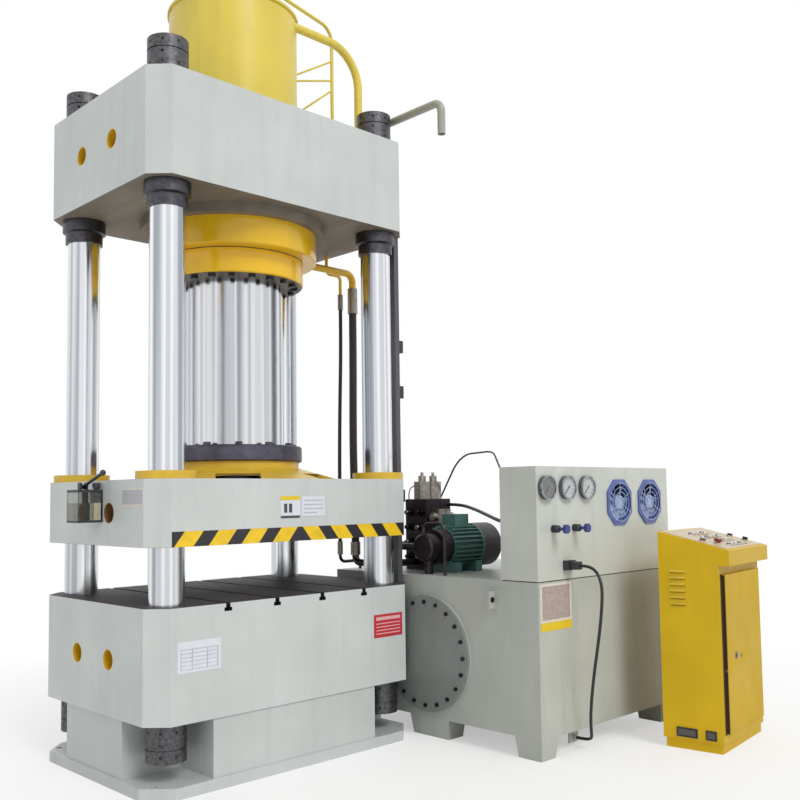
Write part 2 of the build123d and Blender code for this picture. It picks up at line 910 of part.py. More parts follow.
gooseneck_collar = half_width - gooseneck_x
gooseneck_route = [
    (gooseneck_x, gooseneck_foot_y, crown_top),
    (gooseneck_x, gooseneck_foot_y, gooseneck_height),
    (gooseneck_x, gooseneck_reach_y, gooseneck_height),
    (gooseneck_x, gooseneck_reach_y, gooseneck_mouth),
]
gooseneck_body = bent_tube(gooseneck_route, gooseneck_bend, gooseneck_radius, gooseneck_wall)
with BuildPart() as vent_gooseneck:
    add(gooseneck_body.part)
    with BuildSketch(Plane.XY.offset(crown_top)):
        with Locations((gooseneck_x, gooseneck_foot_y)):
            Circle(gooseneck_collar)
            Circle(gooseneck_radius - gooseneck_wall, mode=Mode.SUBTRACT)
    extrude(amount=foot_flange_height)
vent_gooseneck.part.label = "vent_gooseneck"
export_step(vent_gooseneck.part, "parts/vent_gooseneck.step")

port_pipe_route = [
    (flange_radius - edge_break, 0, port_pipe_z),
    (port_pipe_x, 0, port_pipe_z),
    (port_pipe_x, 0, hose_pipe_end),
]
thin_pipe_route = [
    (thin_pipe_riser_x, thin_pipe_y, crown_bottom),
    (thin_pipe_riser_x, thin_pipe_y, thin_pipe_z),
    (port_pipe_x, thin_pipe_y, thin_pipe_z),
    (port_pipe_x, thin_pipe_y, thin_hose_pipe_end),
]
port_pipe = bent_tube(port_pipe_route, port_pipe_bend, port_pipe_radius, 0)
thin_pipe = bent_tube(thin_pipe_route, port_pipe_bend / 2, thin_pipe_radius, 0)
with BuildPart() as crown_pipes:
    add(port_pipe.part)
    add(thin_pipe.part)
    add(main_cylinder.part, mode=Mode.SUBTRACT)
crown_pipes.part.label = "crown_pipes"
export_step(crown_pipes.part, "parts/crown_pipes.step")

# Hoses down to the power pack

pressure_hose = cord(hose_route, hose_radius)
pressure_hose.part.label = "pressure_hose"
export_step(pressure_hose.part, "parts/pressure_hose.step")

drain_hose = cord(thin_hose_route, thin_hose_radius)
drain_hose.part.label = "drain_hose"
export_step(drain_hose.part, "parts/drain_hose.step")

ferrule_ends = (
    (port_pipe_x, 0, hose_top, hose_pipe_end, ferrule_radius),
    (hose_foot_x, hose_foot_y, hose_foot_bottom, hose_foot_top, ferrule_radius),
    (port_pipe_x, thin_pipe_y, thin_hose_top, thin_hose_pipe_end, thin_ferrule_radius),
    (thin_hose_foot_x, thin_pipe_y, hose_foot_bottom, hose_foot_top, thin_ferrule_radius),
)
with BuildPart() as hose_ferrules:
    for end_x, end_y, low_end, high_end, radius in ferrule_ends:
        with BuildSketch(Plane.XY.offset(low_end)):
            with Locations((end_x, end_y)):
                Circle(radius)
        extrude(amount=high_end - low_end)
hose_ferrules.part.label = "hose_ferrules"
export_step(hose_ferrules.part, "parts/hose_ferrules.step")

# Travel switches

rail_inner = half_width + joint_gap
rail_outer = half_width + rail_thickness
with BuildPart() as switch_rail:
    with BuildSketch(Plane.XY.offset(rail_bottom)):
        with Locations(((rail_inner + rail_outer) / 2, rail_y)):
            Rectangle(rail_outer - rail_inner, rail_width)
    extrude(amount=rail_top - rail_bottom)
    for pad_bottom, pad_top in ((rail_bottom, bed_top), (crown_bottom, rail_top)):
        with BuildSketch(Plane.XY.offset(pad_bottom)):
            with Locations((half_width, rail_y)):
                Rectangle(joint_gap, rail_width, align=(Align.MIN, Align.CENTER))
        extrude(amount=pad_top - pad_bottom)
switch_rail.part.label = "switch_rail"
export_step(switch_rail.part, "parts/switch_rail.step")

switch_front = rail_y - switch_size / 2
switch_back = rail_y + switch_size / 2
switch_shaft_x = rail_outer + switch_size / 2
roller_x = half_width + dog_thickness + joint_gap + roller_radius
arm_front = dog_y + roller_width / 2
with BuildPart() as limit_switches:
    for level in switch_heights:
        with BuildSketch(Plane.XY.offset(level - switch_height / 2)):
            with Locations((switch_shaft_x, rail_y)):
                Rectangle(switch_size, switch_size)
        extrude(amount=switch_height)
        with BuildSketch(Plane.XZ.offset(-switch_back)):
            with Locations((switch_shaft_x, level)):
                Circle(switch_shaft_radius)
        extrude(amount=switch_back - arm_front - switch_arm_width)
        with BuildSketch(Plane.XZ.offset(-arm_front)):
            with Locations((switch_shaft_x, level), (roller_x, level - switch_arm_drop)):
                Circle(switch_shaft_radius)
            make_hull()
        extrude(amount=-switch_arm_width)
        with BuildSketch(Plane.XZ.offset(-arm_front)):
            with Locations((roller_x, level - switch_arm_drop)):
                Circle(roller_radius)
        extrude(amount=roller_width)
limit_switches.part.label = "limit_switches"
export_step(limit_switches.part, "parts/limit_switches.step")

dog_middle = switch_heights[0] - switch_arm_drop
with BuildPart() as trip_dog:
    with BuildSketch(Plane.XZ.offset(-dog_y)):
        with BuildLine():
            Polyline(
                (half_width, dog_middle - dog_length / 2),
                (half_width, dog_middle + dog_length / 2),
                (half_width + dog_thickness, dog_middle + dog_length / 2 - dog_ramp),
                (half_width + dog_thickness, dog_middle - dog_length / 2 + dog_ramp),
                close=True,
            )
        make_face()
    extrude(amount=dog_width / 2, both=True)
trip_dog.part.label = "trip_dog"
export_step(trip_dog.part, "parts/trip_dog.step")

# Slide, its guide bushes and the ram

slide = frame_block(slide_bottom, slide_height, bush_body_radius + seat_gap)
slide.part.label = "slide"
export_step(slide.part, "parts/slide.step")

bush_bore = column_radius + running_gap
bush_body = turned([
    (bush_bore, slide_bottom),
    (bush_body_radius, slide_bottom),
    (bush_body_radius, slide_top),
    (bush_flange_radius, slide_top),
    (bush_flange_radius, slide_top + bush_flange_height),
    (bush_bore, slide_top + bush_flange_height),
])
with BuildPart() as guide_bushes:
    with GridLocations(column_spacing_x, column_spacing_y, 2, 2):
        add(bush_body.part)
guide_bushes.part.label = "guide_bushes"
export_step(guide_bushes.part, "parts/guide_bushes.step")

piston_top = piston_bottom + piston_height
ram_bore = ram_radius - ram_wall
ram = turned([
    (0, slide_top),
    (ram_radius, slide_top),
    (ram_radius, piston_bottom),
    (piston_radius, piston_bottom),
    (piston_radius, piston_top),
    (ram_bore, piston_top),
    (ram_bore, slide_top + ram_floor),
    (0, slide_top + ram_floor),
])
ram.part.label = "ram"
export_step(ram.part, "parts/ram.step")

ram_clamp = turned([
    (ram_radius + seat_gap, slide_top),
    (ram_flange_spigot, slide_top),
    (ram_flange_spigot, ram_flange_bottom),
    (ram_flange_radius - edge_break, ram_flange_bottom),
    (ram_flange_radius, ram_flange_bottom + edge_break),
    (ram_flange_radius, ram_flange_top - edge_break),
    (ram_flange_radius - edge_break, ram_flange_top),
    (ram_radius + seat_gap, ram_flange_top),
])
clamp_top = Plane.XY.offset(ram_flange_top)
clamp_heads = hexagon_heads(
    clamp_top, ram_flange_bolt_circle, ram_flange_bolt_count, ram_bolt_radius, ram_bolt_height
)
with BuildPart() as ram_flange:
    add(ram_clamp.part)
    add(clamp_heads.part)
ram_flange.part.label = "ram_flange"
export_step(ram_flange.part, "parts/ram_flange.step")

cover_neck_bottom = ram_flange_bottom - cover_neck_height
cover_slope = (cover_neck_bottom - slide_top) / (cover_foot_radius - cover_neck_radius)
cover_inner_drop = cover_wall * math.hypot(1, cover_slope)
cover_neck_inner = cover_neck_radius - cover_wall
cover_inner_top = cover_neck_bottom + cover_wall * cover_slope - cover_inner_drop
cover_cone = turned([
    (cover_neck_inner, ram_flange_bottom),
    (cover_neck_radius, ram_flange_bottom),
    (cover_neck_radius, cover_neck_bottom),
    (cover_foot_radius, slide_top),
    (cover_foot_radius - cover_inner_drop / cover_slope, slide_top),
    (cover_neck_inner, cover_inner_top),
])
with BuildPart() as ram_cover:
    add(cover_cone.part)
    with BuildSketch(Plane.XY.offset(slide_top)):
        with PolarLocations(cover_foot_radius, cover_window_count, start_angle=cover_window_angle):
            Rectangle(2 * cover_window_reach, cover_window_width)
    extrude(amount=cover_window_height, mode=Mode.SUBTRACT)
ram_cover.part.label = "ram_cover"
export_step(ram_cover.part, "parts/ram_cover.step")

# Lubricator on the slide

lubricator_left = -half_width - lubricator_width
lubricator_front = lubricator_y - lubricator_depth / 2
lubricator_x = -half_width - lubricator_width / 2
reservoir_bottom = lubricator_bottom + lubricator_base_height
reservoir_top = reservoir_bottom + reservoir_height
lubricator_top = reservoir_top + lubricator_lid_height
pivot_z = lubricator_top + lever_pivot_height
head_top = lubricator_top + lubricator_head_height
levels = (
    (lubricator_bottom, reservoir_bottom, lubricator_width, lubricator_depth),
    (reservoir_top, lubricator_top, lubricator_width, lubricator_depth),
)
filler_place = (-half_width - filler_inset_x, lubricator_front + filler_inset_y, lubricator_top)
filler = disc_stack(Plane(origin=filler_place), [
    (0, filler_neck_height, filler_neck_radius),
    (filler_neck_height, filler_height, filler_cap_radius),
])
with BuildPart() as lubricator_pump:
    for low_end, high_end, width, depth in levels:
        with BuildSketch(Plane.XY.offset(low_end)):
            with Locations((lubricator_x, lubricator_y)):
                Rectangle(width, depth)
        extrude(amount=high_end - low_end)
    with BuildSketch(Plane.XY.offset(lubricator_bottom)):
        with Locations((-half_width, lubricator_y)):
            Rectangle(lubricator_plate, lubricator_depth, align=(Align.MAX, Align.CENTER))
        with Locations((lubricator_x, lubricator_y)):
            Circle(lubricator_tube_radius)
    extrude(amount=lubricator_top - lubricator_bottom)
    with BuildSketch(Plane.XY.offset(lubricator_top)):
        for side in (-1, 1):
            ear_middle = lever_pivot_x + side * (clevis_width - clevis_ear_width) / 2
            with Locations((ear_middle + side * clevis_ear_width / 2, lever_pivot_y)):
                Rectangle(clevis_ear_width, 2 * lubricator_tube_radius)
    extrude(amount=lubricator_head_height)
    with BuildSketch(Plane.YZ.offset(lubricator_left)):
        with Locations((lever_pivot_y, pivot_z)):
            Circle(lever_pin_radius + running_gap)
    extrude(amount=lubricator_width, mode=Mode.SUBTRACT)
    add(filler.part)
lubricator_pump.part.label = "lubricator_pump"
export_step(lubricator_pump.part, "parts/lubricator_pump.step")

reservoir_width = lubricator_width - lubricator_plate
with BuildPart() as lubricator_reservoir:
    with BuildSketch(Plane.XY.offset(reservoir_bottom)):
        with Locations((lubricator_left + reservoir_width / 2, lubricator_y)):
            Rectangle(reservoir_width, lubricator_depth)
            Rectangle(
                reservoir_width - 2 * reservoir_wall,
                lubricator_depth - 2 * reservoir_wall,
                mode=Mode.SUBTRACT,
            )
    extrude(amount=reservoir_height)
lubricator_reservoir.part.label = "lubricator_reservoir"
export_step(lubricator_reservoir.part, "parts/lubricator_reservoir.step")

pivot = Vector(lever_pivot_x, lever_pivot_y, pivot_z)
lever_rise_angle = math.radians(lever_rise)
lever_direction = Vector(0, -math.cos(lever_rise_angle), math.sin(lever_rise_angle))
lever_pin_length = clevis_width + clevis_ear_width
lever_hub = disc_stack(Plane(origin=pivot, z_dir=(1, 0, 0)), [
    (-lever_pin_length / 2, lever_pin_length / 2, lever_pin_radius),
    (-lever_hub_width / 2, lever_hub_width / 2, lever_hub_radius),
])
lever_arm = disc_stack(Plane(origin=pivot, z_dir=lever_direction), [(0, lever_length, lever_radius)])
with BuildPart() as lubricator_lever:
    add(lever_hub.part)
    add(lever_arm.part)
    with Locations(pivot + lever_direction * lever_length):
        Sphere(lever_knob_radius)
lubricator_lever.part.label = "lubricator_lever"
export_step(lubricator_lever.part, "parts/lubricator_lever.step")

# Oil tank

cover_plane = Plane(origin=(pack_left, tank_y, cover_z), x_dir=(0, -1, 0), z_dir=(-1, 0, 0))
with BuildPart() as oil_tank:
    with BuildSketch(Plane.XY.offset(tank_bottom)):
        with Locations((tank_x, tank_y)):
            Rectangle(tank_width, tank_depth)
    extrude(amount=tank_height)
    with BuildSketch(Plane.XY.offset(tank_bottom + tank_wall)):
        with Locations((tank_x, tank_y)):
            Rectangle(tank_width - 2 * tank_wall, tank_depth - 2 * tank_wall)
    extrude(amount=tank_height - 2 * tank_wall, mode=Mode.SUBTRACT)
    with BuildSketch(cover_plane):
        Circle(cover_radius)
    extrude(amount=cover_flange_thickness)
    with BuildSketch(cover_plane.offset(-tank_wall)):
        Circle(cover_opening_radius)
    extrude(amount=tank_wall + cover_flange_thickness, mode=Mode.SUBTRACT)
    for side in (-1, 1):
        foot_x = tank_x + side * (tank_width - foot_width) / 2
        corner_reach = (tank_depth - foot_depth) / 2
        with BuildSketch(Plane.XY.offset(tank_bottom)):
            with Locations((foot_x, tank_y - corner_reach), (foot_x, tank_y + corner_reach)):
                Rectangle(foot_width, foot_depth)
            with Locations((foot_x, tank_y)):
                Rectangle(foot_width, middle_foot_depth)
        extrude(amount=tank_bottom, taper=foot_taper, dir=(0, 0, -1))
    for reach, width, height in (lug_size, lug_pad_size):
        with BuildSketch(Plane.XY.offset(lug_z - height / 2)):
            with Locations((pack_left, lug_y)):
                Rectangle(reach, width, align=(Align.MAX, Align.CENTER))
        extrude(amount=height)
    with BuildSketch(Plane.XZ.offset(-gland_plate_y)):
        with Locations((gland_plate_x, tank_bottom)):
            Rectangle(gland_plate_width, gland_plate_height, align=(Align.CENTER, Align.MAX))
    extrude(amount=-gland_plate_thickness)
    with BuildSketch(Plane.XZ.offset(-gland_plate_y)):
        with Locations((gland_plate_x, gland_z)):
            Circle(gland_boss_radius)
    extrude(amount=gland_boss_length)
oil_tank.part.label = "oil_tank"
export_step(oil_tank.part, "parts/oil_tank.step")

cover_seat = cover_plane.offset(cover_flange_thickness)
with BuildPart() as inspection_cover:
    with BuildSketch(cover_seat):
        Circle(cover_radius)
    extrude(amount=cover_thickness)
    fillet(inspection_cover.edges().group_by(Axis.X)[0], cover_thickness / 4)
inspection_cover.part.label = "inspection_cover"
export_step(inspection_cover.part, "parts/inspection_cover.step")

gland_face = Plane(origin=(0, 0, gland_bottom), x_dir=(1, 0, 0), z_dir=(0, 0, -1))
gland_heads = hexagon_heads(
    gland_face, gland_bolt_circle, gland_bolt_count, ram_bolt_radius, ram_bolt_height
)
lid_heads = hexagon_heads(
    Plane.XY.offset(lid_top), lid_radius - lid_bolt_inset, lid_bolt_count, bolt_head_radius, bolt_head_height
)
cover_heads = hexagon_heads(
    cover_seat.offset(cover_thickness), cover_bolt_circle, cover_bolt_count, bolt_head_radius, bolt_head_height
)
with BuildPart() as fixed_bolts:
    add(gland_heads.part)
    add(lid_heads.part)
    add(cover_heads.part)
fixed_bolts.part.label = "fixed_bolts"
export_step(fixed_bolts.part, "parts/fixed_bolts.step")

# Instrument box

box_front = Plane.XZ.offset(-pack_front)
box_z = tank_top + box_height / 2
fan_barrel = fan_bore + fan_barrel_wall
with BuildPart() as instrument_box:
    with BuildSketch(box_front):
        with Locations((tank_x, box_z)):
            Rectangle(tank_width, box_height)
    extrude(amount=-box_depth)
    with BuildSketch(box_front.offset(-box_wall)):
        with Locations((tank_x, box_z)):
            Rectangle(tank_width - 2 * box_wall, box_height - 2 * box_wall)
    extrude(amount=-box_depth, mode=Mode.SUBTRACT)
    with BuildSketch(box_front):
        for x in gauge_x:
            with Locations((x, gauge_z)):
                Circle(gauge_stem_radius + seat_gap)
        for x in knob_x:
            with Locations((x, knob_z)):
                Circle(valve_tail_radius + seat_gap)
        for x in fan_x:
            with Locations((x, fan_z)):
                Circle(fan_barrel + seat_gap)
    extrude(amount=-box_wall, mode=Mode.SUBTRACT)
    with BuildSketch(Plane.XY.offset(tank_top)):
        with Locations((tank_x, pack_front + box_depth / 2)):
            Rectangle(tank_width, box_depth)
            Rectangle(tank_width - 2 * seam_depth, box_depth - 2 * seam_depth, mode=Mode.SUBTRACT)
    extrude(amount=seam_height, mode=Mode.SUBTRACT)
instrument_box.part.label = "instrument_box"
export_step(instrument_box.part, "parts/instrument_box.step")

gauge_recess = gauge_radius - gauge_rim
dial_face = gauge_depth - gauge_dial_depth
with BuildPart() as gauge_cases:
    for x in gauge_x:
        gauge_case = turned_from((x, pack_front, gauge_z), (0, -1, 0), [
            (dial_face - arbor_length - running_gap, 0),
            (-gauge_stem_length, 0),
            (-gauge_stem_length, gauge_stem_radius),
            (0, gauge_stem_radius),
            (0, gauge_radius),
            (gauge_depth, gauge_radius),
            (gauge_depth, gauge_recess),
            (dial_face, gauge_recess),
            (dial_face, arbor_radius + running_gap),
            (dial_face - arbor_length - running_gap, arbor_radius + running_gap),
        ])
        add(gauge_case.part)
gauge_cases.part.label = "gauge_cases"
export_step(gauge_cases.part, "parts/gauge_cases.step")

glass_back = gauge_depth - gauge_lip - gauge_glass
with BuildPart() as gauge_glasses:
    with BuildSketch(box_front.offset(glass_back)):
        for x in gauge_x:
            with Locations((x, gauge_z)):
                Circle(gauge_recess)
    extrude(amount=gauge_glass)
gauge_glasses.part.label = "gauge_glasses"
export_step(gauge_glasses.part, "parts/gauge_glasses.step")


def gauge_pointer(x):
    """Pointer with its arbor, held over the dial of the gauge at this place."""
    centre = Plane(origin=(x, pack_front - dial_face, gauge_z), x_dir=(1, 0, 0), z_dir=(0, -1, 0))
    pointer_back = (gauge_dial_depth - gauge_glass) / 2 - pointer_thickness
    reach = pointer_length + pointer_tail
    with BuildPart() as pointer:
        with BuildSketch(centre.offset(pointer_back)):
            Circle(pointer_hub_radius)
            with Locations(Rotation(0, 0, pointer_zero)):
                with Locations((reach / 2 - pointer_tail, 0)):
                    Rectangle(reach, pointer_width)
        extrude(amount=pointer_thickness)
        with BuildSketch(centre.offset(-arbor_length)):
            Circle(arbor_radius)
        extrude(amount=arbor_length + pointer_back)
    return pointer


gauge_pointer_left = gauge_pointer(gauge_x[0])
gauge_pointer_left.part.label = "gauge_pointer_left"
export_step(gauge_pointer_left.part, "parts/gauge_pointer_left.step")

gauge_pointer_middle = gauge_pointer(gauge_x[1])
gauge_pointer_middle.part.label = "gauge_pointer_middle"
export_step(gauge_pointer_middle.part, "parts/gauge_pointer_middle.step")

gauge_pointer_right = gauge_pointer(gauge_x[2])
gauge_pointer_right.part.label = "gauge_pointer_right"
export_step(gauge_pointer_right.part, "parts/gauge_pointer_right.step")

with BuildPart() as needle_valve_bodies:
    for x in knob_x:
        valve_body = turned_from((x, pack_front, knob_z), (0, -1, 0), [
            (0, 0),
            (-valve_tail_length, 0),
            (-valve_tail_length, valve_tail_radius),
            (0, valve_tail_radius),
            (0, valve_body_radius),
            (valve_body_length - valve_body_radius / 2, valve_body_radius),
            (valve_body_length, valve_tail_radius),
            (valve_body_length, valve_stem_radius + running_gap),
            (box_wall, valve_stem_radius + running_gap),
            (box_wall, 0),
        ])
        add(valve_body.part)
needle_valve_bodies.part.label = "needle_valve_bodies"
export_step(needle_valve_bodies.part, "parts/needle_valve_bodies.step")


def needle_knob(x):
    """Ribbed hand knob and its stem, in the needle valve at this place."""
    stem_start = 2 * box_wall
    knob_start = stem_start + valve_stem_length
    face = Plane(origin=(x, pack_front, knob_z), x_dir=(1, 0, 0), z_dir=(0, -1, 0))
    body = disc_stack(face, [
        (stem_start, knob_start, valve_stem_radius),
        (knob_start, knob_start + knob_thickness, knob_radius),
    ])
    with BuildPart() as knob:
        add(body.part)
        with BuildSketch(face.offset(knob_start)):
            with PolarLocations(knob_radius, knob_flute_count):
                Circle(knob_flute_radius)
        extrude(amount=knob_thickness, mode=Mode.SUBTRACT)
    return knob


needle_valve_knob_left = needle_knob(knob_x[0])
needle_valve_knob_left.part.label = "needle_valve_knob_left"
export_step(needle_valve_knob_left.part, "parts/needle_valve_knob_left.step")

needle_valve_knob_right = needle_knob(knob_x[1])
needle_valve_knob_right.part.label = "needle_valve_knob_right"
export_step(needle_valve_knob_right.part, "parts/needle_valve_knob_right.step")

fan_depth = fan_thickness - fan_proud
fan_motor_radius = fan_hub - fan_barrel_wall
with BuildPart() as fan_frames:
    for x in fan_x:
        fan_face = Plane(origin=(x, pack_front, fan_z), x_dir=(1, 0, 0), z_dir=(0, -1, 0))
        with BuildSketch(fan_face) as outline:
            Rectangle(fan_width, fan_height)
            chamfer(outline.vertices(), fan_corner)
            fillet(outline.vertices(), fan_corner_round)
            Circle(fan_bore, mode=Mode.SUBTRACT)
        extrude(amount=fan_proud)
        with BuildSketch(fan_face):
            Circle(fan_barrel)
            Circle(fan_bore, mode=Mode.SUBTRACT)
        extrude(amount=-fan_depth)
        with BuildSketch(fan_face.offset(-fan_depth)):
            Circle(fan_motor_radius)
            with PolarLocations((fan_bore + fan_motor_radius) / 2, fan_spoke_count, start_angle=90):
                Rectangle(fan_barrel - fan_motor_radius + fan_barrel_wall, fan_spoke_width)
        extrude(amount=fan_spoke_depth)
        with BuildSketch(fan_face.offset(-fan_depth)):
            Circle(fan_motor_radius)
        extrude(amount=fan_motor_depth)
        with BuildSketch(fan_face.offset(-fan_depth + fan_barrel_wall)):
            Circle(fan_shaft_radius + running_gap)
        extrude(amount=fan_motor_depth, mode=Mode.SUBTRACT)
fan_frames.part.label = "fan_frames"
export_step(fan_frames.part, "parts/fan_frames.step")


def fan_rotor(x):
    """Bladed fan wheel on its shaft, in the fan frame at this place."""
    hub_back = -fan_depth + fan_motor_depth + fan_motor_gap
    face = Plane(origin=(x, pack_front, fan_z), x_dir=(1, 0, 0), z_dir=(0, -1, 0))
    shaft_back = -fan_depth + 2 * fan_barrel_wall
    body = disc_stack(face, [
        (shaft_back, hub_back, fan_shaft_radius),
        (hub_back, hub_back + fan_hub_depth, fan_hub),
    ])
    blade_length = fan_blade_tip - fan_hub + fan_barrel_wall
    with BuildPart() as rotor:
        add(body.part)
        with Locations(face.offset(hub_back + fan_hub_depth / 2)):
            with PolarLocations(fan_blade_tip - blade_length / 2, fan_blade_count):
                Box(blade_length, fan_blade_width, fan_blade_thickness, rotation=(fan_blade_pitch, 0, 0))
    return rotor


fan_rotor_left = fan_rotor(fan_x[0])
fan_rotor_left.part.label = "fan_rotor_left"
export_step(fan_rotor_left.part, "parts/fan_rotor_left.step")

fan_rotor_right = fan_rotor(fan_x[1])
fan_rotor_right.part.label = "fan_rotor_right"
export_step(fan_rotor_right.part, "parts/fan_rotor_right.step")

with BuildPart() as cable_connector:
    with BuildSketch(box_front):
        with Locations((socket_x, socket_z)):
            Rectangle(socket_width, socket_height)
    extrude(amount=socket_depth)
    with BuildSketch(box_front.offset(socket_depth)):
        with Locations((socket_x, socket_z)):
            Rectangle(plug_width, plug_width)
    extrude(amount=plug_length)
cable_connector.part.label = "cable_connector"
export_step(cable_connector.part, "parts/cable_connector.step")

control_cable = cord(cable_route, cable_radius)
control_cable.part.label = "control_cable"
export_step(control_cable.part, "parts/control_cable.step")

# Motor and pump

motor_centre = (0, motor_y, motor_axis_z)
motor_start = Plane(origin=(motor_left, motor_y, motor_axis_z), x_dir=(0, 1, 0), z_dir=(1, 0, 0))
shaft_bore = motor_shaft_radius + running_gap
fin_middle = (motor_core_radius + motor_fin_radius) / 2
fin_height = motor_fin_radius - motor_core_radius
with BuildPart() as motor:
    with BuildSketch(motor_start):
        Circle(motor_core_radius)
        with PolarLocations(fin_middle - motor_fin_thickness / 2, motor_fin_count):
            Rectangle(fin_height + motor_fin_thickness, motor_fin_thickness)
    extrude(amount=motor_length)
    with BuildSketch(motor_start.offset(motor_length - motor_end_plate / 2)):
        Circle(motor_end_radius)
    extrude(amount=motor_end_plate / 2)
    for foot_start in (0, motor_length - motor_foot_size[0]):
        with BuildSketch(Plane.YZ.offset(motor_left + foot_start)):
            with Locations((motor_y, tank_top)):
                Rectangle(motor_foot_size[1], motor_foot_height, align=(Align.CENTER, Align.MIN))
        extrude(amount=motor_foot_size[0])
    with BuildSketch(Plane.XY.offset(motor_axis_z + motor_core_radius)):
        with Locations((motor_left + motor_length / 2, motor_y)):
            Rectangle(terminal_box[0], terminal_box[1])
    extrude(amount=fin_height + terminal_box[2])
    with BuildSketch(motor_start.offset(motor_end_plate)):
        Circle(motor_bore)
    extrude(amount=motor_length - 2 * motor_end_plate, mode=Mode.SUBTRACT)
    with BuildSketch(motor_start):
        Circle(shaft_bore)
    extrude(amount=motor_length, mode=Mode.SUBTRACT)
motor.part.label = "motor"
export_step(motor.part, "parts/motor.step")

cowl_right = motor_right + cowl_length
cowl_inner = motor_end_radius - cowl_wall
with BuildPart() as motor_cowl:
    with BuildSketch(motor_start.offset(motor_length)):
        Circle(motor_end_radius)
    extrude(amount=cowl_length)
    with BuildSketch(motor_start.offset(motor_length)):
        Circle(cowl_inner)
    extrude(amount=cowl_length - cowl_wall, mode=Mode.SUBTRACT)
    with BuildSketch(motor_start.offset(motor_length + cowl_length)):
        with PolarLocations(cowl_inner - cowl_slot_length, cowl_slot_count):
            Rectangle(cowl_slot_length, cowl_slot_width)
    extrude(amount=-cowl_wall, mode=Mode.SUBTRACT)
motor_cowl.part.label = "motor_cowl"
export_step(motor_cowl.part, "parts/motor_cowl.step")

coupling_left = (bell_left + motor_left - coupling_length) / 2
fan_disc = motor_right + cooling_fan_depth
rotor_radius = motor_bore - running_gap
rotor_shaft = turned_from(motor_centre, (1, 0, 0), [
    (bell_left - pump_shaft_depth, 0),
    (bell_left - pump_shaft_depth, motor_shaft_radius),
    (coupling_left, motor_shaft_radius),
    (coupling_left, coupling_radius),
    (coupling_left + coupling_length, coupling_radius),
    (coupling_left + coupling_length, motor_shaft_radius),
    (motor_left + motor_end_plate + joint_gap, motor_shaft_radius),
    (motor_left + motor_end_plate + joint_gap, rotor_radius),
    (motor_right - motor_end_plate - joint_gap, rotor_radius),
    (motor_right - motor_end_plate - joint_gap, motor_shaft_radius),
    (fan_disc, motor_shaft_radius),
    (fan_disc, cooling_fan_radius),
    (fan_disc + cowl_wall, cooling_fan_radius),
    (fan_disc + cowl_wall, 2 * motor_shaft_radius),
    (fan_disc + cooling_fan_depth, 2 * motor_shaft_radius),
    (fan_disc + cooling_fan_depth, 0),
])
blade_start = 1.5 * motor_shaft_radius
blade_end = cooling_fan_radius - joint_gap
with BuildPart() as motor_rotor:
    add(rotor_shaft.part)
    with BuildSketch(Plane(origin=(fan_disc, motor_y, motor_axis_z), x_dir=(0, 1, 0), z_dir=(1, 0, 0))):
        with PolarLocations((blade_start + blade_end) / 2, cooling_blade_count):
            Rectangle(blade_end - blade_start, cowl_wall)
    extrude(amount=cooling_fan_depth - joint_gap)
motor_rotor.part.label = "motor_rotor"
export_step(motor_rotor.part, "parts/motor_rotor.step")

bell_inner = bell_radius - bell_wall
pump_body = turned_from(motor_centre, (1, 0, 0), [
    (pump_left, 0),
    (pump_left, pump_radius - bell_wall),
    (pump_left + bell_wall, pump_radius),
    (bell_left - bell_wall, pump_radius),
    (bell_left - bell_wall, bell_radius),
    (motor_left, bell_radius),
    (motor_left, bell_inner),
    (bell_left + bell_wall, bell_inner),
    (bell_left + bell_wall, shaft_bore),
    (bell_left - pump_shaft_depth - joint_gap, shaft_bore),
    (bell_left - pump_shaft_depth - joint_gap, 0),
])
suction_plane = Plane(origin=(suction_x, motor_y, tank_top), x_dir=(1, 0, 0), z_dir=(0, 0, 1))
suction_pipe = disc_stack(suction_plane, [(0, motor_axis_z - tank_top - pump_radius / 2, suction_radius)])
with BuildPart() as pump:
    add(pump_body.part)
    add(suction_pipe.part)
pump.part.label = "pump"
export_step(pump.part, "parts/pump.step")

# Valve block and its steel tubes

block_top = tank_top + valve_block_size[2]
with BuildPart() as valve_block:
    with BuildSketch(Plane.XY.offset(tank_top)):
        with Locations((valve_block_x, valve_block_y)):
            Rectangle(valve_block_size[0], valve_block_size[1])
    extrude(amount=valve_block_size[2])
    chamfer(valve_block.edges().group_by(Axis.Z)[-1], edge_break / 2)
valve_block.part.label = "valve_block"
export_step(valve_block.part, "parts/valve_block.step")

